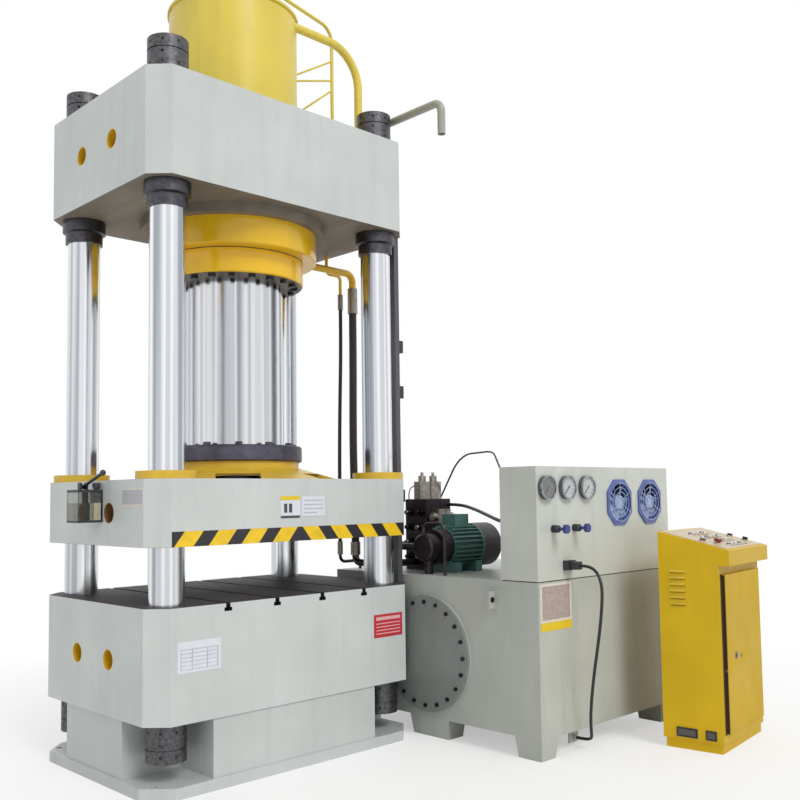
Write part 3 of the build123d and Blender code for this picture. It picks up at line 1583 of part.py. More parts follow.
block_front = Plane.XZ.offset(valve_block_size[1] / 2 - valve_block_y)
front_valve_z = block_top - pilot_valve_size[2]
with BuildPart() as pilot_valves:
    for side in (-1, 1):
        valve_x = valve_block_x + side * pilot_valve_pitch / 2
        upright = Plane(origin=(valve_x, valve_block_y, block_top), x_dir=(1, 0, 0), z_dir=(0, 0, 1))
        with BuildSketch(upright):
            Rectangle(pilot_valve_size[0], pilot_valve_size[1])
        extrude(amount=pilot_valve_size[2])
        upright_coil = disc_stack(upright, [
            (pilot_valve_size[2], pilot_valve_size[2] + coil_length, coil_radius),
            (pilot_valve_size[2] + coil_length, pilot_valve_size[2] + coil_length + core_length, core_radius),
        ])
        add(upright_coil.part)
    for drop in (0, 1):
        valve_z = front_valve_z - drop * 2 * pilot_valve_size[1]
        with BuildSketch(block_front):
            with Locations((valve_block_x, valve_z)):
                Rectangle(pilot_valve_size[2], pilot_valve_size[0])
        extrude(amount=pilot_valve_size[1])
        coil_plane = Plane(
            origin=(valve_block_x, block_front.origin.Y - pilot_valve_size[1] / 2, valve_z),
            x_dir=(0, 1, 0),
            z_dir=(1, 0, 0),
        )
        coil_end = pilot_valve_size[2] / 2 + coil_length
        level_coils = disc_stack(coil_plane, [
            (-coil_end, coil_end, coil_radius),
            (-coil_end - core_radius, coil_end + core_radius, core_radius),
        ])
        add(level_coils.part)
pilot_valves.part.label = "pilot_valves"
export_step(pilot_valves.part, "parts/pilot_valves.step")

block_left = valve_block_x - valve_block_size[0] / 2
block_right = valve_block_x + valve_block_size[0] / 2
oil_route = [
    (hose_foot_x, hose_foot_y, hose_foot_bottom),
    (hose_foot_x, hose_foot_y, oil_tube_z),
    (hose_foot_x, valve_block_y, oil_tube_z),
    (block_left, valve_block_y, oil_tube_z),
]
thin_oil_route = [
    (thin_hose_foot_x, thin_pipe_y, hose_foot_bottom),
    (thin_hose_foot_x, thin_pipe_y, oil_tube_z),
    (thin_hose_foot_x + thin_tube_run, thin_pipe_y, oil_tube_z),
    (thin_hose_foot_x + thin_tube_run, thin_pipe_y, tank_top),
]
case_drain_route = [
    (case_drain_x, motor_y, motor_axis_z + pump_radius / 2),
    (case_drain_x, motor_y, case_drain_z),
    (case_drain_x, case_drain_y, case_drain_z),
    (case_drain_x, case_drain_y, tank_top),
]
delivery_route = [
    (suction_x, motor_y + pump_radius / 2, motor_axis_z),
    (suction_x, valve_block_y + valve_block_size[1] / 4, motor_axis_z),
    (block_left, valve_block_y + valve_block_size[1] / 4, motor_axis_z),
]
gauge_line_top = gauge_z + gauge_line_bend
gauge_line_route = [
    (block_right, valve_block_y, block_top - edge_break),
    (block_right, valve_block_y - valve_block_size[1], gauge_line_top - edge_break),
    (tank_x - motor_length, motor_y - motor_length, gauge_line_top),
    (gauge_x[0], pack_front + box_depth + edge_break, gauge_z + edge_break),
    (gauge_x[0], pack_front + gauge_stem_length, gauge_z),
]
oil_tube = bent_tube(oil_route, tube_bend, oil_tube_radius, 0)
thin_oil_tube = bent_tube(thin_oil_route, thin_tube_bend, drain_tube_radius, 0)
case_drain = bent_tube(case_drain_route, tube_bend, drain_tube_radius, 0)
delivery_tube = bent_tube(delivery_route, 2 * tube_bend, oil_tube_radius, 0)
gauge_line = bent_tube(gauge_line_route, gauge_line_bend, gauge_line_radius, 0)
with BuildPart() as steel_tubes:
    add(oil_tube.part)
    add(thin_oil_tube.part)
    add(case_drain.part)
    add(delivery_tube.part)
    add(gauge_line.part)
    add(pump.part, mode=Mode.SUBTRACT)
    add(valve_block.part, mode=Mode.SUBTRACT)
steel_tubes.part.label = "steel_tubes"
export_step(steel_tubes.part, "parts/steel_tubes.step")

# Control console

console_floor = Plane(
    origin=(console_x, console_y, 0),
    x_dir=Vector(1, 0, 0).rotate(Axis.Z, console_turn),
    z_dir=(0, 0, 1),
)
across = console_floor.x_dir
inward = console_floor.y_dir
console_side = Plane(origin=console_floor.origin, x_dir=inward, z_dir=across)
console_front = Plane(origin=console_floor.origin, x_dir=across, z_dir=inward * -1)
panel_rise = console_back_height - console_lip_top
panel_run = console_depth + console_lip_reach
panel_length = math.hypot(panel_run, panel_rise)
panel_floor = Plane(
    origin=console_floor.from_local_coords((0, -console_lip_reach, console_lip_top)),
    x_dir=across,
    z_dir=across.cross(inward * panel_run + Vector(0, 0, panel_rise)),
)
panel_top = panel_floor.offset(panel_thickness)
louvre_levels = [louvre_first_z + number * louvre_pitch for number in range(louvre_count)]
door_middle = ((door_left + door_right) / 2, (door_bottom + door_top) / 2)
door_width = door_right - door_left
door_height = door_top - door_bottom
hinge_levels = (door_bottom + hinge_inset, door_top - hinge_inset)
control_places = (stop_place, button_left_place, selector_place, button_right_place)


def panel_place(place):
    """Plane on the control panel at this distance across and up it."""
    return Plane(origin=panel_top.from_local_coords(place), x_dir=across, z_dir=panel_top.z_dir)


with BuildPart() as console_cabinet:
    with BuildSketch(console_side):
        with BuildLine():
            Polyline(
                (0, plinth_height),
                (0, console_lip_bottom),
                (-console_lip_reach, console_lip_bottom),
                (-console_lip_reach, console_lip_top),
                (console_depth, console_back_height),
                (console_depth, plinth_height),
                close=True,
            )
        make_face()
    extrude(amount=console_width)
    with BuildSketch(console_side.offset(console_wall)):
        with BuildLine():
            Polyline(
                (0, plinth_height),
                (0, console_lip_bottom),
                (-console_lip_reach, console_lip_bottom),
                (-console_lip_reach, console_lip_top),
                (console_depth, console_back_height),
                (console_depth, plinth_height),
                close=True,
            )
        make_face()
        offset(amount=-console_wall, kind=Kind.INTERSECTION, mode=Mode.REPLACE)
    extrude(amount=console_width - 2 * console_wall, mode=Mode.SUBTRACT)
    with BuildSketch(console_front):
        with Locations(door_middle):
            Rectangle(door_width - 2 * door_lap, door_height - 2 * door_lap)
    extrude(amount=-console_wall, mode=Mode.SUBTRACT)
    with BuildSketch(console_side):
        for level in louvre_levels:
            with Locations((louvre_y, level)):
                Rectangle(louvre_width, louvre_slot)
    extrude(amount=console_wall, mode=Mode.SUBTRACT)
    with BuildSketch(console_floor):
        with Locations((console_width / 2, console_depth / 2)):
            Rectangle(console_width - 2 * plinth_inset, console_depth - 2 * plinth_inset)
    extrude(amount=plinth_height)
    for place in control_places:
        with BuildSketch(panel_place(place)):
            Circle(button_stem_radius + running_gap)
        extrude(amount=-console_wall * 3, mode=Mode.SUBTRACT)
    for level in louvre_levels:
        hood_plane = Plane(origin=console_floor.origin + inward * louvre_y, x_dir=across, z_dir=inward)
        with BuildSketch(hood_plane):
            with BuildLine():
                Polyline(
                    (0, -level - louvre_slot),
                    (-louvre_reach, -level + louvre_slot / 2),
                    (-louvre_reach + louvre_sheet, -level + louvre_slot / 2),
                    (0, -level - louvre_slot / 2),
                    close=True,
                )
            make_face()
        extrude(amount=louvre_width / 2, both=True)
    for level in hinge_levels:
        with BuildSketch(console_floor.offset(level - hinge_height)):
            with Locations((hinge_x, hinge_y)):
                Circle(hinge_radius)
            with Locations((hinge_x, hinge_y / 2)):
                Rectangle(2 * hinge_radius, -hinge_y)
        extrude(amount=hinge_height)
        with BuildSketch(console_floor.offset(level)):
            with Locations((hinge_x, hinge_y)):
                Circle(hinge_pin_radius)
        extrude(amount=hinge_height)
console_cabinet.part.label = "console_cabinet"
export_step(console_cabinet.part, "parts/console_cabinet.step")

door_back = console_front.offset(joint_gap)
with BuildPart() as console_door:
    with BuildSketch(door_back):
        with Locations(door_middle):
            Rectangle(door_width, door_height)
    extrude(amount=door_thickness)
    with BuildSketch(door_back):
        with Locations(door_middle):
            Rectangle(door_width - 2 * door_rim, door_height - 2 * door_rim)
    extrude(amount=door_thickness - door_rim, mode=Mode.SUBTRACT)
    for level in hinge_levels:
        with BuildSketch(console_floor.offset(level + joint_gap)):
            with Locations((hinge_x, hinge_y)):
                Circle(hinge_radius)
            with Locations(((hinge_x + door_right) / 2, hinge_y - hinge_radius / 2)):
                Rectangle(hinge_x - door_right + door_rim, hinge_radius)
        extrude(amount=hinge_height)
        with BuildSketch(console_floor.offset(level)):
            with Locations((hinge_x, hinge_y)):
                Circle(hinge_pin_radius + running_gap)
        extrude(amount=hinge_height + 2 * joint_gap, mode=Mode.SUBTRACT)
console_door.part.label = "console_door"
export_step(console_door.part, "parts/console_door.step")

with BuildPart() as control_panel:
    with BuildSketch(panel_floor):
        with Locations((console_width / 2, panel_length / 2)):
            Rectangle(console_width - 2 * panel_margin, panel_length - 2 * panel_margin)
    extrude(amount=panel_thickness)
    with BuildSketch(panel_top):
        for place in control_places:
            with Locations(place):
                Circle(collar_ring_radius)
    extrude(amount=collar_ring_height)
    with BuildSketch(panel_top):
        for place in (button_left_place, button_right_place):
            with Locations(place):
                Circle(button_radius + running_gap)
    extrude(amount=collar_ring_height, mode=Mode.SUBTRACT)
    for place in control_places:
        with BuildSketch(panel_place(place).offset(-panel_thickness)):
            Circle(button_stem_radius + running_gap)
        extrude(amount=panel_thickness + collar_ring_height, mode=Mode.SUBTRACT)
    with BuildSketch(panel_top):
        with Locations(lamp_places):
            with GridLocations(lamp_pitch, lamp_pitch, lamp_columns, 2):
                Circle(lamp_radius)
    extrude(amount=lamp_height)
control_panel.part.label = "control_panel"
export_step(control_panel.part, "parts/control_panel.step")


def push_button(place):
    """Push button whose cap slides in its collar on the panel."""
    cap_start = button_travel + running_gap
    return disc_stack(panel_place(place), [
        (-button_stem_length, cap_start, button_stem_radius),
        (cap_start, cap_start + button_height, button_radius),
    ])


emergency_stop = disc_stack(panel_place(stop_place), [
    (-button_stem_length, collar_ring_height + stop_travel + running_gap, button_stem_radius),
    (collar_ring_height + stop_travel + running_gap, collar_ring_height + stop_travel + stop_height, stop_radius),
])
emergency_stop.part.label = "emergency_stop"
export_step(emergency_stop.part, "parts/emergency_stop.step")

selector_body = disc_stack(panel_place(selector_place), [
    (-button_stem_length, collar_ring_height + running_gap, button_stem_radius),
    (collar_ring_height + running_gap, collar_ring_height + button_height / 2, button_radius),
])
with BuildPart() as selector_switch:
    add(selector_body.part)
    with BuildSketch(panel_place(selector_place).offset(collar_ring_height + button_height / 2)):
        Rectangle(selector_grip[1], selector_grip[0])
    extrude(amount=selector_grip[2])
selector_switch.part.label = "selector_switch"
export_step(selector_switch.part, "parts/selector_switch.step")

press_button_left = push_button(button_left_place)
press_button_left.part.label = "press_button_left"
export_step(press_button_left.part, "parts/press_button_left.step")

press_button_right = push_button(button_right_place)
press_button_right.part.label = "press_button_right"
export_step(press_button_right.part, "parts/press_button_right.step")
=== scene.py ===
"""Paints and dresses a four-column hydraulic press with its power pack and control console."""

import json
import math
from itertools import product

import bmesh
import bpy
from bpy.props import FloatProperty, FloatVectorProperty, IntProperty, PointerProperty
from mathutils import Matrix, Vector


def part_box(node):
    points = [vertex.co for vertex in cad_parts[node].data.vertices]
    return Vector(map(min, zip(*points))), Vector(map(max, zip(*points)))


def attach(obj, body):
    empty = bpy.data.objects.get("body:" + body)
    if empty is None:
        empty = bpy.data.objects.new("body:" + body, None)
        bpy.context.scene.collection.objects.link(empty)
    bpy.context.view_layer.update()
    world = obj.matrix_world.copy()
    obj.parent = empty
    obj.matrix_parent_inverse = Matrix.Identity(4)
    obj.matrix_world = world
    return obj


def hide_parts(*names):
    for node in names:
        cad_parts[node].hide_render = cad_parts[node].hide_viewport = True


bl_info = {
    "name": "Hydraulic Press Finish",
    "version": (1, 0, 0),
    "blender": (4, 5, 0),
    "location": "View3D > Sidebar > Press",
    "description": "Paint, plates, hoses and instruments of a four-column hydraulic press",
    "category": "Object",
}

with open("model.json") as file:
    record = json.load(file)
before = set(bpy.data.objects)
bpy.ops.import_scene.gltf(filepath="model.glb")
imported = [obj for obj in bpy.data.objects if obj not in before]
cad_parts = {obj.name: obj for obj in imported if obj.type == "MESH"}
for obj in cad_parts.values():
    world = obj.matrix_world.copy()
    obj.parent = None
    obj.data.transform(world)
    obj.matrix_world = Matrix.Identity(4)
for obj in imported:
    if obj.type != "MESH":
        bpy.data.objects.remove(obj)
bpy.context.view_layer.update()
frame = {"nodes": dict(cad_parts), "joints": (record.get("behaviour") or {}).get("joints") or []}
NODES = frame["nodes"]
MM = 0.001
# height of the crown over its seat ring
CROWN_HEIGHT = 0.585
WHITE = (1.0, 1.0, 1.0, 1.0)
FORWARD, BACKWARD = (0, -1, 0), (0, 1, 0)


def linear(code):
    """sRGB hex text as linear red, green, blue and alpha."""
    channels = [int(code[i:i + 2], 16) / 255 for i in (0, 2, 4)]
    curved = [c / 12.92 if c <= 0.04045 else ((c + 0.055) / 1.055) ** 2.4 for c in channels]
    return (*curved, 1.0)


def add_node(tree, kind, settings=None, inputs=None):
    """Adds a shader node with its settings, and sets or links its inputs."""
    node = tree.nodes.new("ShaderNode" + kind)
    for name, value in (settings or {}).items():
        setattr(node, name, value)
    for name, value in (inputs or {}).items():
        if isinstance(value, bpy.types.NodeSocket):
            tree.links.new(value, node.inputs[name])
        else:
            node.inputs[name].default_value = value
    return node


def new_material(name, **sockets):
    """A Principled material and its tree and shader. Socket names are written with underscores."""
    material = bpy.data.materials.new(name)
    material.use_nodes = True
    tree = material.node_tree
    tree.nodes.clear()
    inputs = {key.replace("_", " "): value for key, value in sockets.items()}
    shader = add_node(tree, "BsdfPrincipled", inputs=inputs)
    add_node(tree, "OutputMaterial", inputs={"Surface": shader.outputs["BSDF"]})
    return material, tree, shader


def tree_and_shader(material):
    """The node tree and the Principled shader of a finished material."""
    tree = material.node_tree
    return tree, next(node for node in tree.nodes if node.type == "BSDF_PRINCIPLED")


def grain(tree, size_mm, stretch=(1, 1, 1), detail=2.0):
    """Noise whose features are about size_mm across, drawn out where stretch is small."""
    place = add_node(tree, "TexCoord").outputs["Object"]
    scale = Vector(stretch) / (size_mm * MM)
    mapped = add_node(tree, "Mapping", inputs={"Vector": place, "Scale": scale}).outputs["Vector"]
    inputs = {"Vector": mapped, "Scale": 1.0, "Detail": detail}
    return add_node(tree, "TexNoise", inputs=inputs).outputs["Fac"]


def blend(tree, factor, first, second, colours=True):
    """The first colour or value turning to the second as the factor goes from 0 to 1."""
    mix = add_node(tree, "Mix", {"data_type": "RGBA" if colours else "FLOAT"})
    # the colour sockets follow those of the plain values and the vectors
    sockets = (mix.inputs[0], *mix.inputs[6:8]) if colours else (mix.inputs[0], *mix.inputs[2:4])
    for socket, value in zip(sockets, (factor, first, second)):
        if isinstance(value, bpy.types.NodeSocket):
            tree.links.new(value, socket)
        else:
            socket.default_value = value
    return mix.outputs[2 if colours else 0]


def spread(tree, value, low, high, first=0.0, last=1.0):
    """A value brought from the range low to high into the range first to last."""
    inputs = {"Value": value, "From Min": low, "From Max": high, "To Min": first, "To Max": last}
    return add_node(tree, "MapRange", inputs=inputs).outputs["Result"]


def shade(colour, share):
    """A colour darkened or lightened to a share of its light."""
    return (*(channel * share for channel in colour[:3]), 1.0)


def uneven_sheen(tree, shader, roughness, size_mm):
    """Lets the roughness wander a little, as where hands and rags have been."""
    smooth, dull = roughness * 0.85, min(1.0, roughness * 1.2)
    wander = spread(tree, grain(tree, size_mm, detail=3.0), 0.3, 0.7, smooth, dull)
    tree.links.new(wander, shader.inputs["Roughness"])


def relief(tree, shader, height, strength, distance_mm):
    """Raises and lowers the surface with a pattern."""
    inputs = {"Height": height, "Strength": strength, "Distance": distance_mm * MM}
    bump = add_node(tree, "Bump", inputs=inputs)
    tree.links.new(bump.outputs["Normal"], shader.inputs["Normal"])


def enamel(name, colour, roughness=0.32, wear=0.88, runs=0.5, shine=0.5):
    """Alkyd enamel on filled steel: an even sheen, orange peel, slow grime, faint runs and rare chips.

    wear is the share of light that grime leaves, and shine the specular level, which dust brings down.
    """
    material, tree, shader = new_material(name, Specular_IOR_Level=shine)
    grime = spread(tree, grain(tree, size_mm=420, detail=4.0), 0.35, 0.75)
    soiled_and_shaded = blend(tree, grime, (*colour[:3], 1.0), shade(colour, wear))
    streaks = spread(tree, grain(tree, size_mm=70, stretch=(1, 1, 0.1), detail=3.0), 0.5, 0.8, 0.0, runs)
    streaked = blend(tree, streaks, soiled_and_shaded, shade(colour, wear * 0.92))
    chips = spread(tree, grain(tree, size_mm=26, detail=3.0), 0.755, 0.775)
    tree.links.new(blend(tree, chips, streaked, shade(colour, 0.5)), shader.inputs["Base Color"])
    uneven_sheen(tree, shader, roughness, size_mm=160)
    # real orange peel is about 2 mm across, and is drawn at 14 mm so that it shows
    relief(tree, shader, grain(tree, size_mm=14), strength=0.03, distance_mm=2)
    return material


def part_of_box(tree, low, high):
    """One inside the box between two corners, and nought outside it."""
    place = add_node(tree, "TexCoord").outputs["Object"]
    axes = add_node(tree, "SeparateXYZ", inputs={"Vector": place}).outputs
    inside = 1.0
    for axis, first, last in zip(axes, low, high):
        within = {0: axis, 1: (first + last) / 2, 2: (last - first) / 2}
        near = add_node(tree, "Math", {"operation": "COMPARE"}, within).outputs[0]
        inside = add_node(tree, "Math", {"operation": "MULTIPLY"}, {0: near, 1: inside}).outputs[0]
    return inside


def cover(tree, shader, socket, factor, value):
    """Lets a colour or value take the place of what feeds a socket, where the factor is one."""
    own = shader.inputs[socket].links[0].from_socket
    covered = blend(tree, factor, own, value, colours=socket == "Base Color")
    tree.links.new(covered, shader.inputs[socket])


def with_bare_parts_and_painted_light(material, boxes, colour, roughness=0.6, size_mm=130):
    """Turns the parts of a material inside some boxes to another colour with an oil-stain grain: bare metal
    in some calls, painted shade or a painted highlight in others.
    """
    tree, shader = tree_and_shader(material)
    inside = 0.0
    for low, high in boxes:
        both = {0: inside, 1: part_of_box(tree, low, high)}
        inside = add_node(tree, "Math", {"operation": "MAXIMUM"}, both).outputs[0]
    # the stains are drawn out from front to back, as cutter marks on the table are
    stain = spread(tree, grain(tree, size_mm, (1, 0.25, 1), 5.0), 0.3, 0.7)
    cover(tree, shader, "Base Color", inside, blend(tree, stain, colour, shade(colour, 0.6)))
    cover(tree, shader, "Roughness", inside, roughness)
    return material


def with_shaded_side(material, direction, colour):
    """Paints shade on the faces of a painted material that look along a direction, in a darker colour."""
    tree, shader = tree_and_shader(material)
    normal = add_node(tree, "NewGeometry").outputs["True Normal"]
    cosine = add_node(tree, "VectorMath", {"operation": "DOT_PRODUCT"}, {0: normal, 1: direction})
    cover(tree, shader, "Base Color", spread(tree, cosine.outputs["Value"], 0.7, 0.95), colour)
    return material


def hard_chrome(name, streak_mm, tone=1.0):
    """Ground and polished hard chrome: near-mirror steel whose long soft upright bands are painted
    reflections, darkened by tone, with a film of oil.
    """
    material, tree, shader = new_material(name, Metallic=1.0)
    painted_light_bands = grain(tree, streak_mm, stretch=(1, 1, 0.004))
    ramp = add_node(tree, "ValToRGB", inputs={"Fac": painted_light_bands})
    positions = (0.0, 0.38, 0.46, 0.54, 0.61, 1.0)
    codes = ("7b8089", "a9aeb6", "dfe2e6", "f6f7f9", "cdd1d6", "ffffff")
    elements = ramp.color_ramp.elements
    for position in positions[1:-1]:
        elements.new(position)
    for element, position, code in zip(elements, positions, codes):
        element.position, element.color = position, shade(linear(code), tone)
    tree.links.new(ramp.outputs["Color"], shader.inputs["Base Color"])
    uneven_sheen(tree, shader, roughness=0.17, size_mm=90)
    return material


def bare_metal(name, code, roughness, size_mm=60, depth=0.7, metallic=1.0):
    """Turned, cast or drawn metal with oxide and oil in patches and a fine tooth."""
    material, tree, shader = new_material(name, Metallic=metallic)
    colour = linear(code)
    patches = spread(tree, grain(tree, size_mm, detail=5.0), 0.35, 0.7)
    tree.links.new(blend(tree, patches, colour, shade(colour, depth)), shader.inputs["Base Color"])
    uneven_sheen(tree, shader, roughness, size_mm / 2)
    relief(tree, shader, grain(tree, size_mm / 12), strength=0.12, distance_mm=0.5)
    return material


def moulded(name, code, roughness=0.45, size_mm=24, depth=0.86):
    """Moulded, printed or extruded surface: faint dust in patches, rubbed sheen and a fine moulding grain."""
    material, tree, shader = new_material(name)
    colour = linear(code)
    dust = spread(tree, grain(tree, size_mm, detail=4.0), 0.4, 0.75)
    tree.links.new(blend(tree, dust, colour, shade(colour, depth)), shader.inputs["Base Color"])
    uneven_sheen(tree, shader, roughness, size_mm)
    relief(tree, shader, grain(tree, size_mm / 10), strength=0.08, distance_mm=0.4)
    return material


def clear(name, code, roughness, index):
    """Glass, clear plastic or oil, with faint smears in its polish."""
    material, tree, shader = new_material(name, Base_Color=linear(code), IOR=index, Transmission_Weight=1.0)
    uneven_sheen(tree, shader, roughness, size_mm=30)
    return material


def paint(node, material):
    """Gives a frame node this finish."""
    slots = NODES[node].material_slots
    if not slots:
        NODES[node].data.materials.append(material)
    for slot in slots:
        slot.material = material


def box_of(node):
    """The low and high corners of a frame node's box."""
    return [Vector(corner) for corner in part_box(node)]


def joint_place(name):
    """The point that a joint of the frame turns about."""
    return next(joint for joint in frame["joints"] if joint["name"] == name)["pos_m"]


def across(low, high):
    """The box that holds all of the press between two heights."""
    return (-1.0, -1.0, low), (1.0, 1.0, high)


def place_piece(name, data, body):
    """Puts an object in the scene, on a body."""
    piece = bpy.data.objects.new(name, data)
    bpy.context.scene.collection.objects.link(piece)
    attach(piece, body)
    return piece


def mesh_from(name, shape, *materials):
    """A mesh with these materials from a bmesh, which is used up."""
    mesh = bpy.data.meshes.new(name)
    shape.to_mesh(mesh)
    shape.free()
    for material in materials:
        mesh.materials.append(material)
    return mesh


def new_piece(name, shape, body, slot, *materials):
    """Places a bmesh in the scene on a body."""
    return place_piece(name, mesh_from(name, shape, *materials), body)


def add_block(shape, low, high, material=0, turn=None):
    """A box between two corners, turned last if a matrix is given."""
    low, high = Vector(low), Vector(high)
    size = high - low
    placed = Matrix.Translation((low + high) / 2) @ Matrix.Diagonal((*size, 1))
    made = bmesh.ops.create_cube(shape, size=1.0, matrix=(turn or Matrix()) @ placed)
    for face in {face for vertex in made["verts"] for face in vertex.link_faces}:
        face.material_index = material


def add_disc(shape, centre, axis, radius, length, segments=24, material=0, turn=None):
    """A cylinder that starts at centre and runs along axis, turned last if a matrix is given."""
    axis = Vector(axis).normalized()
    turned = axis.to_track_quat("Z", "Y").to_matrix().to_4x4()
    placed = Matrix.Translation(Vector(centre) + axis * length / 2) @ turned
    made = bmesh.ops.create_cone(
        shape, cap_ends=True, segments=segments, radius1=radius, radius2=radius, depth=length,
        matrix=(turn or Matrix()) @ placed,
    )
    for face in {face for vertex in made["verts"] for face in vertex.link_faces}:
        face.material_index = material
        face.smooth = len(face.verts) == 4


def bridge(shape, first, second, material):
    """Joins two loops of vertices with a belt of faces."""
    for this in range(len(first)):
        after = (this + 1) % len(first)
        face = shape.faces.new((first[this], second[this], second[after], first[after]))
        face.material_index = material


def add_ring(shape, centre, axis, inner, outer, length, segments=40, material=0):
    """A round ring with a square section that starts at centre and runs along axis."""
    axis = Vector(axis).normalized()
    turned = Matrix.Translation(Vector(centre)) @ axis.to_track_quat("Z", "Y").to_matrix().to_4x4()
    section = ((inner, 0), (outer, 0), (outer, length), (inner, length))
    loops = []
    for number in range(segments):
        angle = 2 * math.pi * number / segments
        loops.append([
            shape.verts.new(turned @ Vector((radius * math.cos(angle), radius * math.sin(angle), height)))
            for radius, height in section
        ])
    for first, second in zip(loops, loops[1:] + loops[:1]):
        bridge(shape, first, second, material)


def curve_piece(name, points, radius, body, material):
    """A round wire, tube or hose along these points, as one open spline."""
    curve = bpy.data.curves.new(name, "CURVE")
    curve.dimensions = "3D"
    curve.bevel_depth = radius
    curve.bevel_resolution = 5
    curve.use_fill_caps = True
    curve.resolution_u = 12
    spline = curve.splines.new("NURBS")
    spline.points.add(len(points) - 1)
    for point, place in zip(spline.points, points):
        point.co = (*place, 1)
    spline.order_u = 3
    spline.use_endpoint_u = True
    curve.materials.append(material)
    return place_piece(name, curve, body)


def face_patches(name, front, body, slot, patches, *materials):
    """Thin patches on a face that looks along -Y, each left, bottom, right, top and material number."""
    sheet, layer_step = 0.0012, 0.00025
    shape = bmesh.new()
    for layer, (x0, z0, x1, z1, material) in enumerate(patches):
        proud = sheet + layer_step * layer
        add_block(shape, (x0, front - proud, z0), (x1, front, z1), material)
    new_piece(name, shape, body, slot, *materials)


def console_place():
    """The console's own frame: across its front, inward and up from its left front corner."""
    corner, turn = (1.8, -2.233, 0.0), math.radians(7.2)
    return Matrix.Translation(corner) @ Matrix.Rotation(turn, 4, "Z")


def panel_place():
    """The sloping panel's frame: across it, up the slope and out of it."""
    lip, rise, depth = (0, -0.065, 1.160), 0.104, 0.426
    return console_place() @ Matrix.Translation(lip) @ Matrix.Rotation(math.atan2(rise, depth), 4, "X")


class PressFinish(bpy.types.PropertyGroup):
    """Colours and sizes that a user may change before the press is dressed."""

    press_paint: FloatVectorProperty(
        name="Press paint", description="Enamel on the frame",
        subtype="COLOR", size=3, default=linear("c7ccca")[:3],
    )
    pack_paint: FloatVectorProperty(
        name="Pack paint", description="Enamel on the power pack",
        subtype="COLOR", size=3, default=linear("b6bab3")[:3],
    )
    yellow_paint: FloatVectorProperty(
        name="Yellow paint", description="Enamel on the cylinder",
        subtype="COLOR", size=3, default=linear("e6b71e")[:3],
    )
    console_paint: FloatVectorProperty(
        name="Console paint", description="Enamel on the console",
        subtype="COLOR", size=3, default=linear("e1b90a")[:3],
    )
    tape_height: FloatProperty(
        name="Tape height", description="Height of the striped tape",
        subtype="DISTANCE", unit="LENGTH", default=0.079,
    )
    tape_stripes: IntProperty(
        name="Stripes", description="Yellow stripes on each half", default=4, min=1, max=12,
    )


def add_camera(scene):
    """A camera fitted to the floor, the frame and the pack as they are seen."""
    image_pixels, focal_pixels, off_centre_pixels = 800.0, 936.702, (-0.28, 31.77)
    eye = Vector((-3.2965, -4.8654, 1.5))
    yaw, pitch, roll = (math.radians(angle) for angle in (44.19, 3.91, -0.81))
    forward = Vector((math.sin(yaw) * math.cos(pitch), math.cos(yaw) * math.cos(pitch), math.sin(pitch)))
    level_right = Vector((math.cos(yaw), -math.sin(yaw), 0))
    level_up = level_right.cross(forward)
    right = level_right * math.cos(roll) + level_up * math.sin(roll)
    up = level_up * math.cos(roll) - level_right * math.sin(roll)
    camera = bpy.data.objects.new("camera", bpy.data.cameras.new("camera"))
    camera.matrix_world = Matrix.Translation(eye) @ Matrix((right, up, -forward)).transposed().to_4x4()
    camera.data.sensor_width = 36.0
    camera.data.lens = focal_pixels / image_pixels * camera.data.sensor_width
    camera.data.shift_x, camera.data.shift_y = (pixels / image_pixels for pixels in off_centre_pixels)
    camera.data.clip_end = 200.0
    scene.collection.objects.link(camera)
    scene.camera = camera


def add_world(scene):
    """Soft even light, with a backdrop that is white to the eye, in metal and through glass."""
    world = bpy.data.worlds.new("pale studio")
    world.use_nodes = True
    scene.world = world
    tree = world.node_tree
    tree.nodes.clear()
    rays = add_node(tree, "LightPath").outputs
    seen = rays["Is Camera Ray"]
    for ray in ("Is Glossy Ray", "Is Transmission Ray"):
        seen = add_node(tree, "Math", {"operation": "MAXIMUM"}, {0: seen, 1: rays[ray]}).outputs[0]
    ambient, backdrop = (
        add_node(tree, "Background", inputs={"Color": WHITE, "Strength": strength}).outputs[0]
        for strength in (0.62, 1.0)
    )
    mixed = add_node(tree, "MixShader", inputs={0: seen, 1: ambient, 2: backdrop}).outputs[0]
    add_node(tree, "OutputWorld", inputs={"Surface": mixed})


def add_window_light(scene):
    """Broad light from high in front, as from a row of windows."""
    light = bpy.data.objects.new("window light", bpy.data.lights.new("window light", "SUN"))
    light.data.energy = 1.5
    light.data.angle = math.radians(25)
    source = Vector((-0.10, -0.80, 0.75))
    light.rotation_euler = (-source).to_track_quat("-Z", "Y").to_euler()
    scene.collection.objects.link(light)


def floor_paint():
    """Matt white floor paint that fades into the white backdrop away from the press."""
    middle, fade_start, fade_end, least = (0.8, -0.7, 0.0), 1.2, 5.0, 0.45
    material, tree, shader = new_material("matt white floor paint", Base_Color=linear("f6f6f4"))
    uneven_sheen(tree, shader, roughness=0.75, size_mm=300)
    place = add_node(tree, "TexCoord").outputs["Object"]
    distance = add_node(tree, "VectorMath", {"operation": "DISTANCE"}, {0: place, 1: middle})
    fade = spread(tree, distance.outputs["Value"], fade_start, fade_end, least, 1.0)
    seen = add_node(tree, "LightPath").outputs["Is Camera Ray"]
    factor = add_node(tree, "Math", {"operation": "MULTIPLY"}, {0: fade, 1: seen}).outputs[0]
    backdrop = add_node(tree, "Emission", inputs={"Color": WHITE, "Strength": 1.0}).outputs[0]
    mixed = add_node(tree, "MixShader", inputs={0: factor, 1: shader.outputs["BSDF"], 2: backdrop})
    output = next(node for node in tree.nodes if node.type == "OUTPUT_MATERIAL")
    tree.links.new(mixed.outputs[0], output.inputs["Surface"])
    return material


